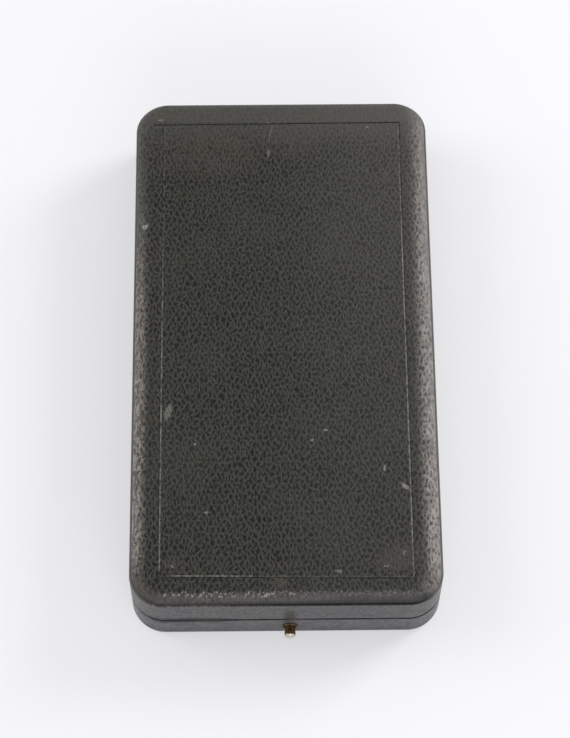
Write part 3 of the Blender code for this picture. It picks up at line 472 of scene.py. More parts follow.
def face_out(piece, weld=False):
    """Turns a closed piece's faces outward, after joining points in one place if asked."""
    bm = bmesh.new()
    bm.from_mesh(piece.data)
    if weld:
        bmesh.ops.remove_doubles(bm, verts=bm.verts, dist=1e-7)
    bmesh.ops.recalc_face_normals(bm, faces=bm.faces)
    bm.to_mesh(piece.data)
    bm.free()
    return piece


def point_attribute(piece, name, values):
    """Stores a number for each vertex."""
    attribute = piece.data.attributes.new(name, "FLOAT", "POINT")
    attribute.data.foreach_set("value", np.asarray(values, np.float32))


def grain_displacement(piece, depth, shares):
    """Presses the leatherette's grain into a piece's own surface, and applies it."""
    point_attribute(piece, "grain_share", shares)
    tree = bpy.data.node_groups.new("pressed_grain", "GeometryNodeTree")
    for way in ("INPUT", "OUTPUT"):
        tree.interface.new_socket("Geometry", in_out=way, socket_type="NodeSocketGeometry")
    source, place, normal = (Field(tree, tree.nodes.new(kind).outputs[0]) for kind in (
        "NodeGroupInput", "GeometryNodeInputPosition", "GeometryNodeInputNormal"))
    share = source.node("GeometryNodeInputNamedAttribute", {"Name": "grain_share"}, data_type="FLOAT")
    push = (grain_height(place * PER_MM, True) - 1.0) * depth * share
    offset = source.node("ShaderNodeVectorMath", {0: normal, "Scale": push}, operation="SCALE")
    moved = source.node("GeometryNodeSetPosition", {"Geometry": source, "Offset": offset})
    feed(tree.nodes.new("NodeGroupOutput").inputs[0], moved)
    piece.modifiers.new("grain", "NODES").node_group = tree
    settle(piece)


def settle(piece):
    """Applies a piece's modifiers to its own mesh."""
    graph = bpy.context.evaluated_depsgraph_get()
    mesh = bpy.data.meshes.new_from_object(piece.evaluated_get(graph))
    piece.modifiers.clear()
    piece.data = mesh
    return piece


def show(piece, body, node):
    """The piece rides on a body and stands for a CAD node, which is hidden."""
    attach(piece, body)
    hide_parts(node)
    return piece


def smooth_step(x, low, high):
    t = np.clip((x - low) / (high - low), 0, 1)
    return t * t * (3 - 2 * t)


# ---- crown ----


def spaced(half, fine_at, fine_reach):
    """Places from -half to half, closer together near plus and minus fine_at."""
    places = [0.0]
    while places[-1] < half:
        near = abs(places[-1] - fine_at) < fine_reach
        places.append(places[-1] + (TOOLED_STEP if near else CROWN_STEP))
    places = np.array(places) * half / places[-1]
    return np.concatenate([-places[:0:-1], places])


def crown_profile():
    """(arc length, inset, height) along the crown's edge, from its foot up to the flat."""
    drop = CROWN_HIGH.z - CROWN_LOW.z - CROWN_EDGE
    angles = np.linspace(0, math.pi / 2, 40)
    inset = np.concatenate([[0.0], CROWN_RUN * (1 - np.cos(angles))])
    height = np.concatenate([[0.0], CROWN_EDGE + drop * np.sin(angles)])
    arc = np.concatenate([[0.0], np.cumsum(np.hypot(np.diff(inset), np.diff(height)))])
    return arc, inset, height


def make_crown():
    """The crown's cover: one sheet folded over the board's rounded edge, with a tooled rectangle."""
    arc, inset_at, height_at = crown_profile()
    half_x, half_y = CROWN_HIGH.x, CROWN_HIGH.y
    # Laid flat, the sheet is larger all round by what the rounded edge takes up.
    grow = arc[-1] - CROWN_RUN
    big_x, big_y = half_x + grow, half_y + grow
    corner = CORNER_RADIUS - LEDGE
    xs = spaced(big_x, TOOLED_X * MM, 0.45 * MM)
    ys = spaced(big_y, TOOLED_Y * MM, 1.05 * MM)
    u, v = (grid.ravel() for grid in np.meshgrid(xs, ys))
    depth_in = np.minimum(big_x - np.abs(u), big_y - np.abs(v))
    inset = np.interp(depth_in, arc, inset_at) + np.maximum(depth_in - arc[-1], 0)
    z = CROWN_LOW.z + np.interp(depth_in, arc, height_at)
    x, y = round_corners(u, v, inset, half_x, half_y, corner, grow)
    place = x / MM, y / MM
    groove, lip = tooled_line(*place)
    points = np.stack([x, y, z - 0.15 * MM * groove + 0.05 * MM * lip], 1)
    faces = grid_faces(len(xs), len(ys))

    # The turned-in edge and the plain inner face.
    loop = grid_rim(len(xs), len(ys))
    rim = points[loop, :2]
    straight = (half_x - corner, half_y - corner)
    outward = unit(rim - np.clip(rim, np.negative(straight), straight))
    rings, sheets = [loop], [points]
    for inside, rise in ((SKIN, 0.0), (SKIN + 0.1 * MM, CROWN_EDGE), (CROWN_RUN, 1.3 * MM)):
        rings.append(sum(map(len, sheets)) + np.arange(len(rim)))
        sheets.append(np.column_stack([rim - outward * inside, np.full(len(rim), CROWN_LOW.z + rise)]))
    for outer, inner in zip(rings, rings[1:]):
        faces += loop_faces(outer, inner)
    faces.append(rings[-1][::-1].tolist())
    piece = mesh_piece("crown_leather", np.concatenate(sheets), faces,
                       leatherette("crown_leatherette", LEATHER_TONE, 0.10 * MM, 0.52, crown=True))

    stretched = edge_stretch(*place, inset / MM)
    inner = np.zeros(len(rim) * 3)
    for attribute, values in (("stretched", stretched), ("wear", edge_rubbing_and_sheen(*place, inset / MM)),
                              ("groove", groove), ("lip", lip * lip_shine(*place))):
        point_attribute(piece, attribute, np.append(values, inner))
    share = (1 - groove) * (1 - lip) * (1 - 0.85 * stretched) * smooth_step(inset, -0.2 * MM, 1.0 * MM)
    grain_displacement(piece, 0.09 * MM, np.append(share, inner))
    show(piece, "lid", "lid_crown_cover")


def edge_stretch(x, y, inset):
    """How far the sheet is pulled smooth: behind the tooled line, and round the edges. In millimetres."""
    back = np.maximum(smooth_step(y, TOOLED_Y - 0.3, TOOLED_Y + 0.5) * 0.58,
                      smooth_step(y, TOOLED_Y - 9, TOOLED_Y) * 0.38)
    front = smooth_step(-y, 61.9, 63.0) * 0.45
    right = smooth_step(inset, 2.6, 0.8) * np.where(x > 0, 0.30, 0.0) * (1 + 0.8 * smooth_step(y, 0, 40))
    from_corner = np.hypot(np.maximum(np.abs(x) - 27, 0), np.maximum(np.abs(y) - 57, 0))
    return np.max([back, front, right, smooth_step(from_corner, 4.5, 8) * 0.4], axis=0)


def edge_rubbing_and_sheen(x, y, inset):
    """How rubbed the edge is, with a painted highlight: most on the right, less near the back corners. In
    millimetres.
    """
    outward = x * MM / HALF_WIDTH
    near_hinge = 1 - 0.84 * smooth_step(y, 10, 60)
    right = smooth_step(inset, 5.2, 1.5) * smooth_step(outward, 0.80, 0.93) * (0.52 + 0.42 * near_hinge)
    left = smooth_step(inset, 4.2, 1.1) * smooth_step(-outward, 0.86, 0.95)
    left = left * smooth_step(y, -62, -52) * (0.92 - 0.10 * smooth_step(y, -30, 0))
    left = left * 0.86 * (1 - 0.85 * smooth_step(y, 0, 45))
    toward_end = smooth_step(HALF_LENGTH / MM - np.abs(y), 1, 8)
    front = smooth_step(inset, 3.0, 1.0) * 0.12
    return np.maximum(np.maximum(right, left) * (0.25 + 0.75 * toward_end), front * (y < 0))


def tooled_line(x, y):
    """(how deep the groove is, how high the lip inside it is), each from 0 to 1. In millimetres.

    The end lines were tooled a little askew, and the back one runs past the left corner.
    """
    along = x / TOOLED_X
    back, front = TOOLED_Y - 0.42 + 0.13 * along, TOOLED_Y + 0.35 * (1 + along)
    beyond_x, beyond_y = np.abs(x) - TOOLED_X, np.abs(y) - np.where(y > 0, back, front)
    far = 1000.0
    out = np.where(beyond_y > beyond_x, np.where(beyond_x < LINE_CROSSES, beyond_y, far),
                   np.where(beyond_y < LINE_CROSSES, beyond_x, far))
    past = (x < 0) & (y > 0) & (beyond_x > 0) & (beyond_x < LINE_RUNS_PAST) & (np.abs(beyond_y) < 0.5)
    out = np.where(past, beyond_y, out)
    return tuple(np.exp(-((out - middle) / GROOVE_WIDTH) ** 2) for middle in (GROOVE_OUT, -GROOVE_OUT))


def lip_shine(x, y):
    """How bright the lip's painted highlight is: least along the back and the left's hinge end. In
    millimetres.
    """
    back = smooth_step(y, TOOLED_Y - 2.0, TOOLED_Y - 0.9)
    left = (x < 0) * smooth_step(y, -5, 40)
    front_left = smooth_step(-x, 24.5, 27) * smooth_step(-y, 56, 57.5)
    front_right = smooth_step(-y, TOOLED_Y - 1.5, TOOLED_Y - 0.4) * smooth_step(x, -12, -4)
    right = (x > 0) * smooth_step(y, 20, 50)
    return ((1 - 0.85 * back) * (1 - 0.85 * left) * (1 - 0.9 * front_left) * (1 - 0.7 * front_right)
            * (1 - 0.6 * right))


# ---- shapes swept round the case ----


def outline_frame(step):
    """Places round the case's outline: the corner arc's middle for each, and the way out of the case."""
    straight = (HALF_WIDTH - CORNER_RADIUS, HALF_LENGTH - CORNER_RADIUS)
    corners = np.array([(1, 1), (-1, 1), (-1, -1), (1, -1)]) * straight
    middles, ways = [], []
    turn_steps = max(4, round(CORNER_RADIUS * math.pi / 2 / step))
    for quarter, (here, there) in enumerate(zip(corners, np.roll(corners, -1, 0))):
        for i in range(turn_steps + 1):
            angle = math.pi / 2 * (quarter + i / turn_steps)
            middles.append(here)
            ways.append((math.cos(angle), math.sin(angle)))
        count = max(1, round(np.linalg.norm(there - here) / step))
        for i in range(1, count):
            middles.append(here + (there - here) * i / count)
            ways.append(ways[-1])
    return np.array(middles), np.array(ways)


def rounded_profile(corners, step):
    """A closed profile of (inset, height) points. A corner is (inset, height, radius, fine or not).

    The stretch after a fine corner is cut into steps; the stretch after any other is left whole.
    """
    points = []
    for k, (*here, radius, fine) in enumerate(corners):
        *after, next_radius, _ = corners[(k + 1) % len(corners)]
        before, here, after = (np.array(corner) for corner in (corners[k - 1][:2], here, after))
        to_after = unit(after - here)
        start, end = here + unit(before - here) * radius, here + to_after * radius
        points += curve(start, here, end, 1 if not radius else 5 if radius > 0.2 * MM else 3)
        if fine:
            stop = after - to_after * next_radius
            pieces = max(1, round(np.linalg.norm(stop - end) / step))
            points += [end + (stop - end) * i / pieces for i in range(1, pieces)]
    return np.array(points)


def swept_ring(name, corners, step, material, wobble=None):
    """A closed ring: a profile swept round the case. wobble(points) may move its vertices."""
    profile = rounded_profile(corners, step)
    middles, ways = outline_frame(step)
    points = np.empty((len(middles), len(profile), 3))
    points[:, :, :2] = middles[:, None] + ways[:, None] * (CORNER_RADIUS - profile[None, :, :1])
    points[:, :, 2] = profile[:, 1]
    flat = points.reshape(-1, 3)
    if wobble:
        flat = wobble(flat)
    return face_out(mesh_piece(name, flat, ring_faces(len(middles), len(profile)), material))


def box_cutter(name, low, high):
    bm = bmesh.new()
    bmesh.ops.create_cube(bm, size=1.0)
    low, high = Vector(low), Vector(high)
    bmesh.ops.scale(bm, vec=high - low, verts=bm.verts)
    bmesh.ops.translate(bm, vec=(low + high) / 2, verts=bm.verts)
    return bmesh_piece(name, bm)


def rod_cutter(name, start, end, radius):
    bm = bmesh.new()
    start, end = Vector(start), Vector(end)
    bmesh.ops.create_cone(bm, cap_ends=True, segments=48, radius1=radius, radius2=radius,
                          depth=(end - start).length)
    turn = Vector((0, 0, 1)).rotation_difference(end - start).to_matrix().to_4x4()
    bmesh.ops.transform(bm, matrix=Matrix.Translation((start + end) / 2) @ turn, verts=bm.verts)
    return bmesh_piece(name, bm)


def cut_away(piece, *cutters):
    """Cuts each shape from a piece, applies it and removes the cutters."""
    for shape in cutters:
        piece.modifiers.new(shape.name, "BOOLEAN").object = shape
    settle(piece)
    for shape in cutters:
        bpy.data.objects.remove(shape)


def hinge_room():
    """Room for the hinges' barrels and leaves in a cover."""
    made = []
    half = HINGE_WIDTH / 2 + 0.3 * MM
    for side in (-1, 1):
        x = side * HINGE_X
        made.append(rod_cutter(f"barrel_{side}", (x - half, HALF_LENGTH, SEAM_Z),
                               (x + half, HALF_LENGTH, SEAM_Z), 1.45 * MM))
        made.append(box_cutter(f"seat_{side}", (x - half, HALF_LENGTH - 4.4 * MM, SEAM_Z - 0.7 * MM),
                               (x + half, HALF_LENGTH + 2 * MM, SEAM_Z + 0.7 * MM)))
    return made


# ---- leatherette on the walls ----


def wall_wear(piece, *lines):
    """Wear on a wall's edges. A line is (height, reach above and below it, strength)."""
    places = np.empty(len(piece.data.vertices) * 3)
    piece.data.vertices.foreach_get("co", places)
    x, y, z = places.reshape(-1, 3).T
    wear = np.max([strength * smooth_step(np.abs(z - height), reach, reach * 0.2)
                   for height, reach, strength in lines], axis=0)
    outside = np.maximum(np.abs(x) / HALF_WIDTH, np.abs(y) / HALF_LENGTH)
    point_attribute(piece, "wear", wear * smooth_step(outside, 0.97, 0.99))


def make_lid_sides(material):
    """The leatherette round the lid's wall, with its ledge under the crown and its turned-in rim."""
    low, high = SIDE_LOW.z, SIDE_HIGH.z
    corners = [(0.0, low, 0.45 * MM, True), (0.0, high, 0.28 * MM, True), (FLANGE, high, 0.0, False),
               (FLANGE, high - SKIN, 0.0, False), (SKIN, high - SKIN, 0.1 * MM, False),
               (SKIN, low + SKIN, 0.1 * MM, False), (LID_WALL_INSET, low + SKIN, 0.0, True),
               (LID_WALL_INSET, low, 0.0, True)]
    piece = swept_ring("lid_side_leather", corners, WALL_STEP, material)
    catch_low, catch_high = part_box("lid_catch")
    catch_x = (catch_low.x + catch_high.x) / 2
    kerf = box_cutter("kerf", (catch_x - 1.8 * MM, catch_low.y - 0.05 * MM, low - SKIN),
                      (catch_x + 1.8 * MM, catch_low.y + 0.55 * MM, low + 2 * SKIN))
    cut_away(piece, kerf, *hinge_room())
    wall_wear(piece, (low + 0.1 * MM, 0.5 * MM, 0.45), (high - 0.1 * MM, 0.45 * MM, 0.30))
    show(piece, "lid", "lid_side_cover")


def make_base_leather(material):
    """The leatherette of the base: its wall, its rounded foot, and the flaps turned over and under."""
    corners = [(0.0, 0.0, UNDERSIDE_ROUND, True), (0.0, RIM_Z, 0.45 * MM, True),
               (COLLAR_INSET, RIM_Z, 0.0, False), (COLLAR_INSET, RIM_Z - SKIN, 0.0, False),
               (SKIN, RIM_Z - SKIN, 0.1 * MM, False), (SKIN, SKIN, UNDERSIDE_ROUND - SKIN, False),
               (FLANGE + LAPPED, SKIN, 0.0, False), (FLANGE + LAPPED, 0.0, 0.0, True)]
    piece = swept_ring("base_leather", corners, WALL_STEP, material)
    x, y, z = BUTTON_AXIS
    hole = rod_cutter("hole", (x, y - 1 * MM, z), (x, y + 2 * MM, z), 1.55 * MM)
    mouth = box_cutter("mouth", (x - 2.15 * MM, -62.9 * MM, RIM_Z - 2 * SKIN),
                       (x + 2.15 * MM, -60.35 * MM, RIM_Z + SKIN))
    cut_away(piece, hole, mouth, *hinge_room())
    wall_wear(piece, (RIM_Z - 0.1 * MM, 0.45 * MM, 0.45), (0.5 * MM, 1.0 * MM, 0.25))
    show(piece, "base", "base_cover")


# ---- materials for the inside ----


def velvet():
    """Deep blue velvet: a soft sheen, and a nap brushed this way and that."""
    made, at = new_material("blue_velvet")
    nap = (at * (1.0, 0.7, 1.0)).noise(0.12, 4.0, 0.65, 1.2)
    fibre = at.noise(9.0, 2.0, 0.7)
    colour = nap.ramp(0.35, 0.68).mix((0.012, 0.016, 0.062), (0.030, 0.040, 0.135))
    colour = fibre.ramp(0.55, 0.8, 0.0, 0.5).mix(colour, (0.05, 0.065, 0.20))
    lint = at.noise(2.6, 1.0).ramp(0.76, 0.8, 0.0, 0.5)
    return shade(made, Base_Color=lint.mix(colour, (0.30, 0.30, 0.32)), Roughness=0.95,
                 Normal=nap.bump(0.25 * MM, 0.6, fibre.bump(0.10 * MM)), Specular_IOR_Level=0.1,
                 Sheen_Weight=0.55, Sheen_Roughness=0.45, Sheen_Tint=(0.45, 0.52, 0.95))


def satin():
    """Ivory satin: warp threads across the lid, a soft lustre, a little age."""
    made, at = new_material("ivory_satin")
    threads = at.wave(1.9, 0.25, 1.0)
    slub = (at * (0.25, 3.0, 1.0)).noise(1.0, 3.0, 0.6)
    colour = slub.ramp(0.3, 0.7).mix((0.66, 0.60, 0.48), (0.78, 0.73, 0.62))
    aged = at.noise(0.045, 3.0, 0.6).ramp(0.5, 0.75, 0.0, 0.5)
    foxing = at.noise(0.5, 2.0, 0.6).ramp(0.72, 0.78, 0.0, 0.35)
    colour = foxing.mix(aged.mix(colour, (0.60, 0.50, 0.34)), (0.42, 0.28, 0.15))
    return shade(made, Base_Color=colour, Roughness=slub.ramp(0.3, 0.7, 0.30, 0.42),
                 Normal=slub.bump(0.03 * MM, 0.8, threads.bump(0.012 * MM)), Specular_IOR_Level=0.5,
                 Sheen_Weight=0.25, Sheen_Roughness=0.3, Anisotropic=0.5)


def silk_ribbon():
    """Watered silk: a green ground, a white middle, and white, red and white towards each edge."""
    made, at = new_material("ribbon_silk")
    white, red = (0.62, 0.58, 0.50), (0.30, 0.022, 0.022)
    moire = (at * (0.10, 0.30, 0.3)).wave(0.35, 9.0, 3.0)
    colour = moire.ramp(0.3, 0.7).mix((0.012, 0.075, 0.045), (0.022, 0.120, 0.075))
    from_middle = abs(at.part("X"))
    for half, tone in ((2.2, white), (0.9, red)):
        colour = abs(from_middle - 11.0).ramp(half + 0.12, half - 0.12).mix(colour, tone)
    colour = from_middle.ramp(1.1, 0.85).mix(colour, white)
    dull = at.noise(0.12, 3.0, 0.6).ramp(0.5, 0.8, 0.0, 0.3)
    return shade(made, Base_Color=dull.mix(colour, (0.14, 0.12, 0.09)),
                 Roughness=moire.ramp(0.3, 0.7, 0.38, 0.58), Specular_IOR_Level=0.4,
                 Normal=at.wave(1.05, 0.4, 1.0).bump(0.06 * MM), Sheen_Weight=0.3, Sheen_Roughness=0.35)


def pine():
    made, at = new_material("pine")
    rings = (at * (0.9, 0.06, 0.9)).wave(0.6, 5.0, 3.0, "X")
    pores = (at * (4.0, 0.25, 4.0)).noise(1.0, 3.0, 0.6)
    colour = rings.mix((0.50, 0.33, 0.17), (0.34, 0.20, 0.09))
    colour = pores.ramp(0.55, 0.75, 0.0, 0.5).mix(colour, (0.22, 0.13, 0.06))
    return shade(made, Base_Color=colour, Roughness=pores.ramp(0.3, 0.7, 0.6, 0.8),
                 Normal=pores.bump(0.05 * MM))


def board(name, tone):
    """Pressed fibre: strawboard, or cotton wadding where the tone is pale."""
    made, at = new_material(name)
    straw = (at * (1.0, 2.6, 2.0)).noise(1.2, 4.0, 0.7)
    colour = straw.ramp(0.3, 0.7).mix(dimmed(tone, 0.72), tone)
    colour = at.noise(0.15).ramp(0.45, 0.7, 0.0, 0.35).mix(colour, dimmed(tone, 0.6))
    return shade(made, Base_Color=colour, Roughness=straw.ramp(0.3, 0.7, 0.8, 0.95),
                 Normal=straw.bump(0.08 * MM))


def metal(name, bright, dull, rough, tarnish, brushed=(1.0, 1.0, 1.0), relief=False, rubbed_end=None):
    """Bare metal with patches of tarnish, fine scratches and grime.

    relief darkens what lies low, from the piece's own attribute. rubbed_end is (y, y, colour): the
    metal goes over to that colour between the two.
    """
    made, at = new_material(name)
    patches = at.noise(0.8, 4.0, 0.65, 0.5)
    fine = (at * brushed).noise(7.0, 3.0, 0.7)
    cover = patches.ramp(0.62 - tarnish * 0.35, 0.78 - tarnish * 0.25)
    if relief:
        cover = (cover * 0.35 + at.attribute("relief").ramp(0.0, 0.75, 0.62, 0.0)).clamped()
    colour = fine.ramp(0.62, 0.8, 0.0, 0.5).mix(cover.mix(bright, dull), dimmed(dull, 0.35))
    if rubbed_end:
        start, end, tone = rubbed_end
        colour = at.part("Y").ramp(start, end).mix(colour, tone)
    roughness = cover.ramp(0.0, 1.0, rough, rough + 0.22) + fine.ramp(0.3, 0.8, 0.0, 0.12)
    return shade(made, Base_Color=colour, Metallic=1.0, Roughness=roughness,
                 Normal=patches.bump(0.02 * MM, 0.6, fine.bump(0.012 * MM)))


# ---- cloth shells ----


def round_corners(u, v, inset, half_x, half_y, corner, grow=0.0):
    """Bends a grid's corner squares round the corner arcs. inset is how far in each point lies."""
    square = corner + grow
    s = np.clip((np.abs(u) - (half_x + grow - square)) / square, 0, 1)
    t = np.clip((np.abs(v) - (half_y + grow - square)) / square, 0, 1)
    both = (s > 0) & (t > 0)
    turn = math.pi / 4 * np.minimum(s, t) / np.maximum(np.maximum(s, t), 1e-9)
    angle = np.where(s >= t, turn, math.pi / 2 - turn)
    radius = corner - inset
    x = np.where(both, half_x - corner + radius * np.cos(angle),
                 np.where(s > 0, half_x - inset, np.abs(u)))
    y = np.where(both, half_y - corner + radius * np.sin(angle),
                 np.where(t > 0, half_y - inset, np.abs(v)))
    return x * np.sign(u), y * np.sign(v)


def cloth_shell(name, half_x, half_y, corner, step, height, thickness, material):
    """A sheet over a rounded rectangle at height(x, y, inset), with a second face under it."""
    nx, ny = round(2 * half_x / step), round(2 * half_y / step)
    u, v = np.meshgrid(np.linspace(-half_x, half_x, nx), np.linspace(-half_y, half_y, ny))
    u, v = u.ravel(), v.ravel()
    inset = np.minimum(half_x - np.abs(u), half_y - np.abs(v))
    x, y = round_corners(u, v, inset, half_x, half_y, corner)
    z = height(x, y, inset)
    top = np.stack([x, y, z], 1)
    points = np.concatenate([top, top - (0, 0, thickness)])
    count = nx * ny
    faces = grid_faces(nx, ny)
    faces += [[k + count for k in reversed(face)] for face in faces]
    rim = grid_rim(nx, ny)
    faces += loop_faces(rim, rim + count)
    return mesh_piece(name, points, faces, material)


def box_distance(x, y, half_x, low_y, high_y):
    """How far a point is outside a rectangle about the Y axis, and below 0 inside it."""
    return np.maximum(np.abs(x) - half_x, np.abs(y - (low_y + high_y) / 2) - (high_y - low_y) / 2)


def swell(x, y, scale, seed):
    """A slow, fixed undulation between -1 and 1."""
    total = np.zeros(len(x))
    for k in range(1, 5):
        angle = seed * 1.7 + k * 2.4
        along = (x * math.cos(angle) + y * math.sin(angle)) / scale * (0.6 + 0.35 * k)
        total += np.sin(along * 2 * math.pi + seed * k) / 4
    return total


def make_bed(material):
    """The velvet over the pressed bed: its recesses have soft edges, and it dips a little between."""
    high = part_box("bed_velvet")[1]
    medal_low, medal_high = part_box("medal_disc")
    medal_y, medal_radius = (medal_low.y + medal_high.y) / 2, (medal_high.x - medal_low.x) / 2
    ribbon_low, ribbon_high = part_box("ribbon")
    bar_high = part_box("brooch_bar")[1]
    top = high.z
    seat_floor, trough_floor, notch_floor = 4.4 * MM, 3.1 * MM, 5.0 * MM
    bed_half = ribbon_high.x + 2.2 * MM

    def height(x, y, inset):
        seat = np.hypot(x, y - medal_y) - (medal_radius + 1.2 * MM)
        ribbon = box_distance(x, y, bed_half, ribbon_low.y - 1.2 * MM, ribbon_high.y)
        bar = box_distance(x, y, bar_high.x + 1.2 * MM, bar_high.y - 6.65 * MM, bar_high.y + 2.25 * MM)
        flare_half = np.interp(y, (medal_y + 16 * MM, ribbon_low.y - 1.5 * MM), (7.5 * MM, bed_half))
        flare = np.maximum((np.abs(x) - flare_half) * 0.8, np.abs(y + 6 * MM) - 6 * MM)
        notch = np.hypot(x, y - medal_y + medal_radius) - 7.5 * MM
        trough = box_distance(x, y, bar_high.x + 0.6 * MM, bar_high.y - 5.3 * MM, bar_high.y + 0.3 * MM)
        main = np.minimum(np.minimum(seat, flare), np.minimum(ribbon, bar))
        face = top - 0.12 * MM + 0.10 * MM * swell(x, y, 23 * MM, 1)
        z = face
        for distance, floor in ((main, seat_floor), (notch, notch_floor), (trough, trough_floor)):
            z = np.minimum(z, face - (top - floor) * smooth_step(-distance, -0.02 * MM, 0.72 * MM))
        return z - 1.2 * MM * smooth_step(-inset, -0.5 * MM, 0.0) ** 2

    half_x, half_y = high.x - 0.02 * MM, high.y - 0.02 * MM
    piece = cloth_shell("velvet_bed", half_x, half_y, 1.7 * MM, 0.42 * MM, height, 0.42 * MM, material)
    show(piece, "base", "bed_velvet")


def make_collar(material):
    """The velvet-covered card that stands round the bed and enters the lid."""
    low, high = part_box("base_collar")
    outer = HALF_WIDTH - high.x
    corners = [(outer, low.z, 0.0, False), (outer, high.z, 0.42 * MM, True),
               (outer + 1.0 * MM, high.z, 0.42 * MM, True), (outer + 1.0 * MM, low.z, 0.0, False)]
    piece = swept_ring("velvet_collar", corners, 0.6 * MM, material)
    show(piece, "base", "base_collar")


def make_satin_pad(material):
    """The padded satin inside the lid: crowned over its wadding, and gathered at its edge."""
    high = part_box("lid_satin")[1]
    half_x, half_y = high.x, high.y

    def height(x, y, inset):
        roll = smooth_step(inset, 0.0, 2.2 * MM) ** 0.4
        crown = (1 - (x / half_x) ** 2) * (1 - (y / half_y) ** 4)
        near = np.exp(-inset / (3.5 * MM)) * smooth_step(inset, 0.0, 0.8 * MM)
        side = (half_x - np.abs(x)) < (half_y - np.abs(y))
        along = np.where(side, y, x)
        gather = np.sin(along / (0.95 * MM) + 2.2 * np.sin(along / (5.3 * MM)))
        slow = swell(x, y, 31 * MM, 3)
        z = high.z - 0.38 * MM - 2.05 * MM * roll - 0.42 * MM * crown
        return z + near * 0.16 * MM * gather + 0.12 * MM * slow * crown

    piece = cloth_shell("satin_pad", half_x, half_y, 3.0 * MM, 0.45 * MM, height, -0.3 * MM, material)
    face_out(piece)
    show(piece, "lid", "lid_satin")


def make_satin_strip(material):
    """The satin-covered strip round the inside of the lid's wall."""
    low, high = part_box("lid_lining_strip")
    outer = HALF_WIDTH - high.x

    def ripple(points):
        along = points[:, 0] + points[:, 1]
        out = unit(points[:, :2])
        inner = smooth_step(HALF_WIDTH - np.maximum(np.abs(points[:, 0]), np.abs(points[:, 1])
                                                    - HALF_LENGTH + HALF_WIDTH),
                            outer + 0.2 * MM, outer + 0.5 * MM)
        points[:, :2] -= out * (0.07 * MM * inner * np.sin(along / (2.1 * MM)))[:, None]
        return points

    corners = [(outer, low.z, 0.2 * MM, True), (outer, high.z, 0.0, False),
               (outer + 0.55 * MM, high.z, 0.0, True), (outer + 0.55 * MM, low.z, 0.25 * MM, True)]
    piece = swept_ring("satin_strip", corners, 0.7 * MM, material, ripple)
    show(piece, "lid", "lid_lining_strip")


def make_leaf_spring(material):
    """The catch's leaf spring, cut across in steps between its nailed end and the button."""
    node = frame["nodes"]["catch_spring"]
    mesh = node.data.copy()
    mesh.transform(node.matrix_world)
    mesh.materials.clear()
    mesh.materials.append(material)
    bend_from, bend_to = BUTTON_AXIS.x - 4.4 * MM, BUTTON_AXIS.x - 1.4 * MM
    shape = bmesh.new()
    shape.from_mesh(mesh)
    for x in np.linspace(bend_from, bend_to, 13):
        everything = shape.verts[:] + shape.edges[:] + shape.faces[:]
        bmesh.ops.bisect_plane(shape, geom=everything, plane_co=(x, 0, 0), plane_no=(1, 0, 0))
    shape.to_mesh(mesh)
    shape.free()
    piece = in_scene("leaf_spring", mesh)
    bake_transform(piece)
    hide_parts("catch_spring")


# ---- medal ----


def wreath_leaves():
    """(middle x, middle y, angle) of each laurel leaf, for both branches. In millimetres."""
    leaves = []
    for side in (-1, 1):
        for i in range(15):
            angle = math.radians(-90 + side * (14 + i * 9.2))
            offset = (-0.75, 0.85)[i % 2]
            turn = angle + side * math.pi / 2 - side * math.copysign(0.5, offset)
            leaves.append(((12.9 + offset) * math.cos(angle), (12.9 + offset) * math.sin(angle), turn))
    return leaves


def medal_relief(x, y):
    """The struck face's height above the disc's back, about the disc's middle. In millimetres."""
    ground = 2.10
    radius, angle = np.hypot(x, y), np.arctan2(y, x)
    rays = np.cos(angle * 60) * smooth_step(radius, 3, 6) * (radius < 11)
    stem = np.exp(-((radius - 12.9) / 0.22) ** 2) * (np.abs(angle - math.pi / 2) > 0.5)
    z = ground + 0.035 * rays + 0.16 * np.exp(-((radius - 11.1) / 0.16) ** 2) + 0.18 * stem
    for leaf_x, leaf_y, turn in wreath_leaves():
        dx, dy = x - leaf_x, y - leaf_y
        along = (dx * math.cos(turn) + dy * math.sin(turn)) / 1.85
        across = (-dx * math.sin(turn) + dy * math.cos(turn)) / 0.62
        width = np.clip(1 - along ** 2, 0, 1) ** 0.8
        body = np.clip(1 - (across / np.maximum(width, 0.02)) ** 2, 0, 1) * (np.abs(along) < 1)
        vein = np.exp(-(across / 0.16) ** 2) * 0.35
        z = np.maximum(z, ground + 0.46 * np.sqrt(body) * (1 - vein) * (body > 0))
    for side in (-1, 1):
        bow = ((x - side * 1.1) / 1.1) ** 2 + ((y + 12.9) / 0.55) ** 2
        z = np.maximum(z, ground + 0.5 * np.sqrt(np.clip(1 - bow, 0, 1)))
    # The star: how far its edge lies from the middle, this way round.
    tip, valley, arm = 9.8, 3.9, 2 * math.pi / 5
    turned_by = np.mod(angle - math.pi / 2, arm)
    fold = np.minimum(turned_by, arm - turned_by)
    valley_x, valley_y = valley * math.cos(arm / 2), valley * math.sin(arm / 2)
    edge = tip * valley_y / (valley_y * np.cos(fold) + (tip - valley_x) * np.sin(fold))
    star = np.clip(1 - radius / edge, 0, 1)
    z = np.maximum(z, np.where(star > 0, ground + 0.14 + 0.95 * star, 0))
    bead_step = 2 * math.pi / 96
    bead = np.mod(angle, bead_step) - bead_step / 2
    away = np.hypot(radius - 15.75, bead * radius)
    z = np.maximum(z, ground + 0.32 * np.sqrt(np.clip(1 - (away / 0.42) ** 2, 0, 1)))
    rim = smooth_step(radius, 16.25, 16.5)
    return z * (1 - rim) + 2.70 * rim


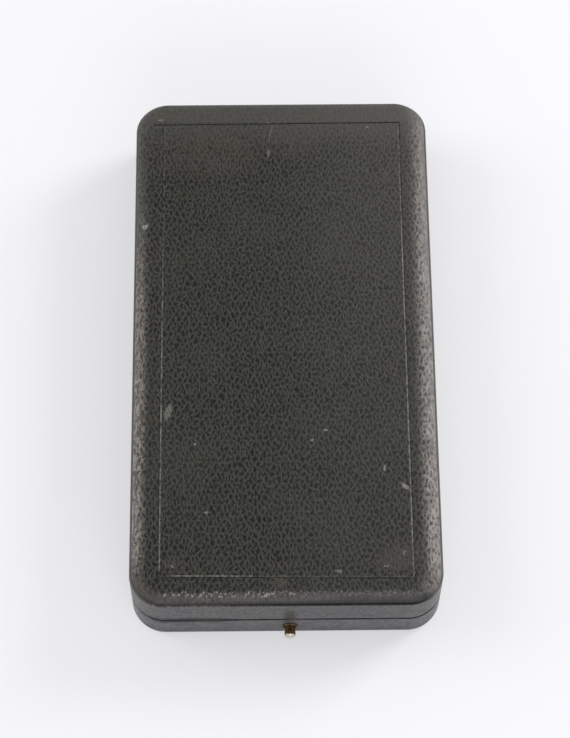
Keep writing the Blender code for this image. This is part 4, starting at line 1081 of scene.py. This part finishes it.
def make_medal_disc(material):
    """The disc: a raised rim, beading, a laurel wreath and a faceted star."""
    low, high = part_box("medal_disc")
    middle = (low + high) / 2
    radius = (high.x - low.x) / 2 / MM
    rings, spokes = 100, 432
    edge = [(radius - 0.12, 2.66), (radius - 0.02, 2.52), (radius, 2.35), (radius, 0.35),
            (radius - 0.03, 0.15), (radius - 0.3, 0.0), (radius - 2.0, 0.0), (radius - 2.2, 0.12),
            (0.1, 0.12)]
    radii = np.append(np.linspace(0.1, radius - 0.25, rings), [r for r, _ in edge])
    r, a = np.meshgrid(radii, full_turn(spokes), indexing="ij")
    x, y = (r * np.cos(a)).ravel(), (r * np.sin(a)).ravel()
    z = medal_relief(x, y)
    z[rings * spokes:] = np.repeat([height for _, height in edge], spokes)
    points = np.stack([x, y, z], 1) * MM + (middle.x, middle.y, low.z)
    count = len(points)
    faces = [(a, d, c, b) for a, b, c, d in ring_faces(len(radii), spokes, closed=False)]
    faces += [tuple(range(spokes)), tuple(range(count - 1, count - spokes - 1, -1))]
    piece = face_out(mesh_piece("medal_face", points, faces, material))
    point_attribute(piece, "relief", (z - 2.1) / 0.55)
    show(piece, "base", "medal_disc")


def tube(name, points, radius, material):
    """A round wire through points, closed on itself."""
    points = np.array(points)
    along = unit(np.roll(points, -1, 0) - np.roll(points, 1, 0))
    across = np.cross(along[0], (0.3, 0.5, 0.81))
    sides = 20
    angles = full_turn(sides)
    rings = []
    for place, way in zip(points, along):
        across = unit(across - way * np.dot(across, way))
        rings.append(place + radius * (np.outer(np.cos(angles), across)
                                       + np.outer(np.sin(angles), np.cross(way, across))))
    shift = int(np.argmin(np.linalg.norm(rings[0] - rings[-1][0], axis=1)))
    faces = ring_faces(len(rings), sides, shift=shift)
    return face_out(mesh_piece(name, np.concatenate(rings), faces, material))


def rounded_path(corners, radius):
    """A closed path whose corners are bends."""
    points = []
    corners = np.array(corners)
    for before, here, after in zip(np.roll(corners, 1, 0), corners, np.roll(corners, -1, 0)):
        way = unit(after - here) * radius
        end, stop = here + way, after - way
        points += curve(here + unit(before - here) * radius, here, end, 10)
        points += [end + (stop - end) * t for t in np.linspace(0, 1, 8)[1:-1]]
    return points


def make_suspension(material):
    """The eyelet on the disc, and the wire bail that joins it to the ribbon."""
    low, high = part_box("medal_eyelet")
    middle = (low + high) / 2
    thick = (high.x - low.x) / 2
    ring = (high.z - low.z) / 2 - thick
    loop = [(middle.x, middle.y + ring * math.cos(a), middle.z + ring * math.sin(a))
            for a in full_turn(56)]
    show(tube("eyelet_ring", loop, thick, material), "base", "medal_eyelet")
    low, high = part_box("ribbon_bail")
    wire = (high.z - low.z) / 2
    z, half, foot, head = low.z + wire, high.x - wire, low.y + wire, high.y - wire
    corners = [(-3 * MM, foot, z), (3 * MM, foot, z), (half, head - 1.6 * MM, z), (half, head, z),
               (-half, head, z), (-half, head - 1.6 * MM, z)]
    bail = tube("bail_wire", rounded_path(corners, 0.75 * MM), wire, material)
    show(bail, "base", "ribbon_bail")


def make_silk(material):
    """The ribbon: one flat loop round the bail and the bar, a little slack between them."""
    low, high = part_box("ribbon")
    half, thick = high.x, 0.40 * MM
    bend, middle = (high.z - low.z) / 2, (high.z + low.z) / 2
    foot, head = low.y + bend, high.y - bend
    straight = np.linspace(0, 1, 110)
    arc = np.linspace(0, math.pi, 22)[1:-1]
    # For each place on the path: the bend's middle, the way out from it, and how far up the ribbon.
    path = [(foot + (head - foot) * t, 0.0, 1.0, t) for t in straight]
    path += [(head, math.sin(a), math.cos(a), 1.0) for a in arc]
    path += [(head - (head - foot) * t, 0.0, -1.0, 1 - t) for t in straight]
    path += [(foot, -math.sin(a), -math.cos(a), 0.0) for a in arc]
    centre, out_y, out_z, share = np.array(path).T[:, :, None]
    y, z = centre + bend * out_y, middle + bend * out_z
    x = np.linspace(-half, half, 62)[None, :]
    count, wide = len(path), x.shape[1]
    slack = np.sin(math.pi * share) ** 2
    wave = (0.07 * np.sin(x / (5.1 * MM) + 3 * share) + 0.05 * np.sin(share * 9 + x / (9 * MM))
            - 0.10) * MM * slack * (out_z > 0.9)
    edge = 0.06 * MM * np.sin(y / (1.7 * MM)) * (np.abs(x) > half * 0.97) * slack
    flat_x = x - edge * np.sign(x) * 0.5
    points = np.concatenate([
        np.stack([flat_x + 0 * y, y - out_y * inward + 0 * x, z - out_z * inward + wave], -1).reshape(-1, 3)
        for inward in (0.0, thick)])
    size = count * wide
    here = np.arange(size).reshape(count, wide)
    there = np.roll(here, -1, 0)
    faces = quads(here[:, :-1], here[:, 1:], there[:, 1:], there[:, :-1])
    faces += [[k + size for k in reversed(face)] for face in faces]
    for side in (0, -1):
        faces += quads(here[:, side], there[:, side], there[:, side] + size, here[:, side] + size)
    piece = face_out(mesh_piece("silk_ribbon", points, faces, material))
    show(piece, "base", "ribbon")


# ---- turned and flat brass ----


def turned(name, profile, place, direction, material, steps=72):
    """A turned piece: (radius, height) pairs in a closed run, about a direction from a place."""
    turn = Vector((0, 0, 1)).rotation_difference(Vector(direction)).to_matrix().to_4x4()
    stand = Matrix.Translation(Vector(place)) @ turn
    points = [stand @ Vector((r * math.cos(a), r * math.sin(a), h))
              for r, h in profile for a in full_turn(steps)]
    closed = profile[0][0] > 0 and profile[-1][0] > 0
    faces = ring_faces(len(profile), steps, closed)
    return face_out(mesh_piece(name, points, faces, material), weld=True)


def quarter(radius, middle_r, middle_h, start, end, steps=8):
    """Profile points on an arc, with angles in degrees from the radial direction."""
    return [(middle_r + radius * math.cos(math.radians(a)), middle_h + radius * math.sin(math.radians(a)))
            for a in np.linspace(start, end, steps)]


def make_button(material):
    """The push button's stud: a dished neck, a rounded tip worn bright, and a keeper inside."""
    low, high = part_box("push_button")
    radius = 1.25 * MM
    tip = BUTTON_AXIS.y - low.y
    back = BUTTON_AXIS.y - high.y
    dome = [(radius * math.sin(a), tip - radius * 0.5 * (1 - math.cos(a)))
            for a in np.radians(np.arange(0, 91, 5))]
    keeper = (high.x - low.x) / 2
    profile = dome + [(radius, tip - 1.3 * MM), (radius - 0.07 * MM, tip - 1.45 * MM),
                      (radius - 0.07 * MM, 0.0), (radius - 0.07 * MM, back + 0.5 * MM),
                      (keeper, back + 0.5 * MM), (keeper, back), (0.0, back)]
    piece = turned("button_stud", profile, BUTTON_AXIS, (0, -1, 0), material)
    show(piece, "button", "push_button")


def make_ferrule(material):
    low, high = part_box("button_ferrule")
    lip = (high.x - low.x) / 2
    proud = BUTTON_AXIS.y - low.y
    back = BUTTON_AXIS.y - high.y
    bore, body = 1.35 * MM, 1.5 * MM
    profile = ([(bore, back)] + quarter(0.12 * MM, bore + 0.12 * MM, proud - 0.12 * MM, 180, 90)
               + quarter(0.2 * MM, lip - 0.2 * MM, proud - 0.2 * MM, 90, 0)
               + [(lip, 0.05 * MM), (body, 0.04 * MM), (body, back)])
    piece = turned("ferrule", profile, BUTTON_AXIS, (0, -1, 0), material)
    show(piece, "base", "button_ferrule")


def plate(outline, low, high, bevel):
    """A flat plate's bmesh, from its outline in plan, with its edges eased."""
    bm = bmesh.new()
    face = bm.faces.new([bm.verts.new((x, y, low)) for x, y in outline])
    lifted = bmesh.ops.extrude_face_region(bm, geom=[face])
    bmesh.ops.translate(bm, vec=(0, 0, high - low),
                        verts=[v for v in lifted["geom"] if isinstance(v, bmesh.types.BMVert)])
    bmesh.ops.recalc_face_normals(bm, faces=bm.faces)
    bmesh.ops.bevel(bm, geom=list(bm.edges), offset=bevel, segments=2, affect="EDGES",
                    clamp_overlap=True)
    return bm


def join_into(piece, *others):
    """Adds other objects' meshes to a piece, and removes them."""
    bm = bmesh.new()
    bm.from_mesh(piece.data)
    for other in others:
        bm.from_mesh(other.data)
        bpy.data.objects.remove(other)
    bm.to_mesh(piece.data)
    bm.free()
    return piece


def make_hinge_leaf(side, own, material):
    """One leaf with its knuckles rolled round the pin."""
    axis = Vector((HINGE_X * (-1 if side == "left" else 1), HALF_LENGTH, SEAM_Z))
    half, step, gap = HINGE_WIDTH / 2, HINGE_WIDTH / 5, 0.09 * MM
    back, root, tongue = -4.2 * MM, -1.6 * MM, -0.9 * MM
    first = 0 if own == "base" else 1
    spans = [(i * step - half + gap, (i + 1) * step - half - gap) for i in range(first, 5, 2)]
    # From right to left: a tongue for each knuckle. The base's outer two are flush with its ends.
    outline = [(-half, back), (half, back)]
    if own == "base":
        outline += [(half, tongue), (spans[-1][0], tongue), (spans[-1][0], root)]
        inner = spans[-2:0:-1]
    else:
        outline += [(half, root)]
        inner = spans[::-1]
    for low, high in inner:
        outline += [(high, root), (high, tongue), (low, tongue), (low, root)]
    if own == "base":
        outline += [(spans[0][1], root), (spans[0][1], tongue), (-half, tongue)]
    else:
        outline += [(-half, root)]
    heights = (-0.6 * MM, -0.1 * MM) if own == "base" else (0.1 * MM, 0.6 * MM)
    bm = plate(outline, *heights, 0.06 * MM)
    bmesh.ops.translate(bm, vec=axis, verts=bm.verts)
    piece = bmesh_piece(f"hinge_{side}_{own}", bm, material)
    outer, bore, ease = 1.2 * MM, 0.55 * MM, 0.14 * MM
    knuckles = []
    for low, high in spans:
        profile = [(bore, low), (outer - ease, low), (outer, low + ease), (outer, high - ease),
                   (outer - ease, high), (bore, high)]
        knuckles.append(turned("knuckle", profile, axis, (1, 0, 0), material, steps=48))
    join_into(piece, *knuckles)
    show(piece, own, f"hinge_{side}_{own}_leaf")


def make_hinge_pin(side, material):
    x = HINGE_X * (-1 if side == "left" else 1)
    half, radius, ease = HINGE_WIDTH / 2, 0.5 * MM, 0.12 * MM
    profile = [(0.0, -half), (radius * 0.8, -half), (radius, -half + ease), (radius, half - ease),
               (radius * 0.8, half), (0.0, half)]
    piece = turned(f"hinge_{side}_steel_pin", profile, (x, HALF_LENGTH, SEAM_Z), (1, 0, 0), material, 40)
    show(piece, "base", f"hinge_{side}_pin")


def make_brooch_bar(material):
    low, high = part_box("brooch_bar")
    radius = 1.2 * MM
    outline = []
    right, left, back, front = high.x - radius, low.x + radius, high.y - radius, low.y + radius
    for turn, (x, y) in enumerate(((right, back), (left, back), (left, front), (right, front))):
        outline += [(x + radius * math.cos(a), y + radius * math.sin(a))
                    for a in np.linspace(turn * math.pi / 2, (turn + 1) * math.pi / 2, 9)]
    piece = bmesh_piece("mount_bar", plate(outline, low.z, high.z, 0.18 * MM), material)
    piece.data.shade_smooth()
    piece.data.set_sharp_from_angle(angle=SHARP_ANGLE)
    show(piece, "base", "brooch_bar")


# ---- camera, lights and floor ----


def make_camera():
    turn = Matrix.Rotation(-CAMERA_YAW, 4, "Z")
    place = Vector((0, -math.sin(CAMERA_TILT), math.cos(CAMERA_TILT))) * CAMERA_DISTANCE
    upright = Matrix.Rotation(CAMERA_TILT, 4, "X")
    rolled = Matrix.Rotation(CAMERA_ROLL, 4, "Z")
    camera = bpy.data.cameras.new("camera")
    camera.lens = CAMERA_LENS
    camera.sensor_width = 36.0
    camera.clip_start = 0.01
    bpy.context.scene.camera = in_scene("camera", camera)
    bpy.context.scene.camera.matrix_world = (
        turn @ Matrix.Translation(place + CAMERA_TARGET) @ upright @ rolled)


def softbox(name, place, size, power):
    """A rectangular soft light, facing the middle of the case."""
    light = bpy.data.lights.new(name, "AREA")
    light.shape = "RECTANGLE"
    light.size, light.size_y = size
    light.energy = power
    made = in_scene(name, light)
    made.location = place
    made.rotation_euler = (Vector((0, 0, 0.01)) - Vector(place)).to_track_quat("-Z", "Y").to_euler()


def make_studio():
    scene = bpy.context.scene
    scene.view_settings.view_transform = "Standard"
    world = bpy.data.worlds.new("studio")
    world.use_nodes = True
    tree = world.node_tree
    upward = Field(tree, tree.nodes.new("ShaderNodeTexCoord").outputs["Generated"]).part("Z")
    background = tree.nodes["Background"].inputs
    feed(background["Color"], upward.ramp(0.0, 0.75).mix((0.98, 0.98, 1.0), (0.46, 0.47, 0.50)))
    feed(background["Strength"], 0.95)
    scene.world = world
    softbox("right_light", (0.80, 0.45, 0.50), (0.4, 0.5), 5.9)
    softbox("left_light", (-0.85, 0.15, 0.60), (0.6, 0.7), 3.6)
    softbox("front_light", (0.15, -0.9, 0.45), (0.8, 0.4), 3.5)

    paper = shade(new_material("pale_paper")[0], Base_Color=(0.50, 0.50, 0.51), Roughness=0.8,
                  Specular_IOR_Level=0.2, Emission_Color=(1.0, 0.995, 1.01), Emission_Strength=0.42)
    half = 1.5
    corners = [(-half, -half, 0), (half, -half, 0), (half, half, 0), (-half, half, 0)]
    mesh_piece("floor", corners, [(0, 1, 2, 3)], paper, smooth=False)


def finish_nodes(*names, material):
    """Gives CAD nodes that stay as they are a procedural material."""
    for name in names:
        mesh = frame["nodes"][name].data
        mesh.materials.clear()
        mesh.materials.append(material)


def main():
    make_camera()
    make_studio()

    wall = leatherette("wall_leatherette", WALL_TONE_WITH_PAINTED_SHEEN, 0.02 * MM, 0.36)
    make_crown()
    make_lid_sides(wall)
    make_base_leather(wall)
    finish_nodes("underside_panel", material=wall)

    stud_brass = metal("stud_brass", (0.42, 0.27, 0.13), (0.13, 0.075, 0.035), 0.30, 0.7,
                       rubbed_end=(-67.1, -67.7, (0.62, 0.57, 0.50)))
    ferrule_brass = metal("ferrule_brass", (0.20, 0.13, 0.07), (0.060, 0.040, 0.024), 0.34, 0.7)
    brass = metal("hinge_brass", (0.66, 0.50, 0.24), (0.34, 0.22, 0.09), 0.25, 0.35)
    steel = metal("spring_steel", (0.46, 0.46, 0.47), (0.20, 0.17, 0.14), 0.28, 0.3,
                  brushed=(0.2, 1.0, 1.0))
    bronze = metal("medal_bronze", (0.46, 0.27, 0.13), (0.13, 0.068, 0.035), 0.30, 0.35)
    struck = metal("struck_bronze", (0.50, 0.30, 0.145), (0.13, 0.068, 0.035), 0.28, 0.3, relief=True)
    make_button(stud_brass)
    make_ferrule(ferrule_brass)
    for side in ("left", "right"):
        for own in ("base", "lid"):
            make_hinge_leaf(side, own, brass)
        make_hinge_pin(side, steel)
    finish_nodes("lid_catch", *[n for n in frame["nodes"] if "brad" in n], material=brass)
    make_leaf_spring(steel)
    finish_nodes("brooch_pin", material=steel)

    blue = velvet()
    ivory = satin()
    make_bed(blue)
    make_collar(blue)
    make_satin_pad(ivory)
    make_satin_strip(ivory)

    make_medal_disc(struck)
    make_suspension(bronze)
    make_brooch_bar(bronze)
    finish_nodes("brooch_pin_lug", "brooch_hook", material=bronze)
    make_silk(silk_ribbon())

    finish_nodes("base_frame", "lid_frame", material=pine())
    straw = board("strawboard", (0.44, 0.34, 0.20))
    finish_nodes("base_board", "bed_form", "lid_board", "lid_crown_board", material=straw)
    finish_nodes("lid_wadding", material=board("cotton_wadding", (0.80, 0.78, 0.74)))


main()
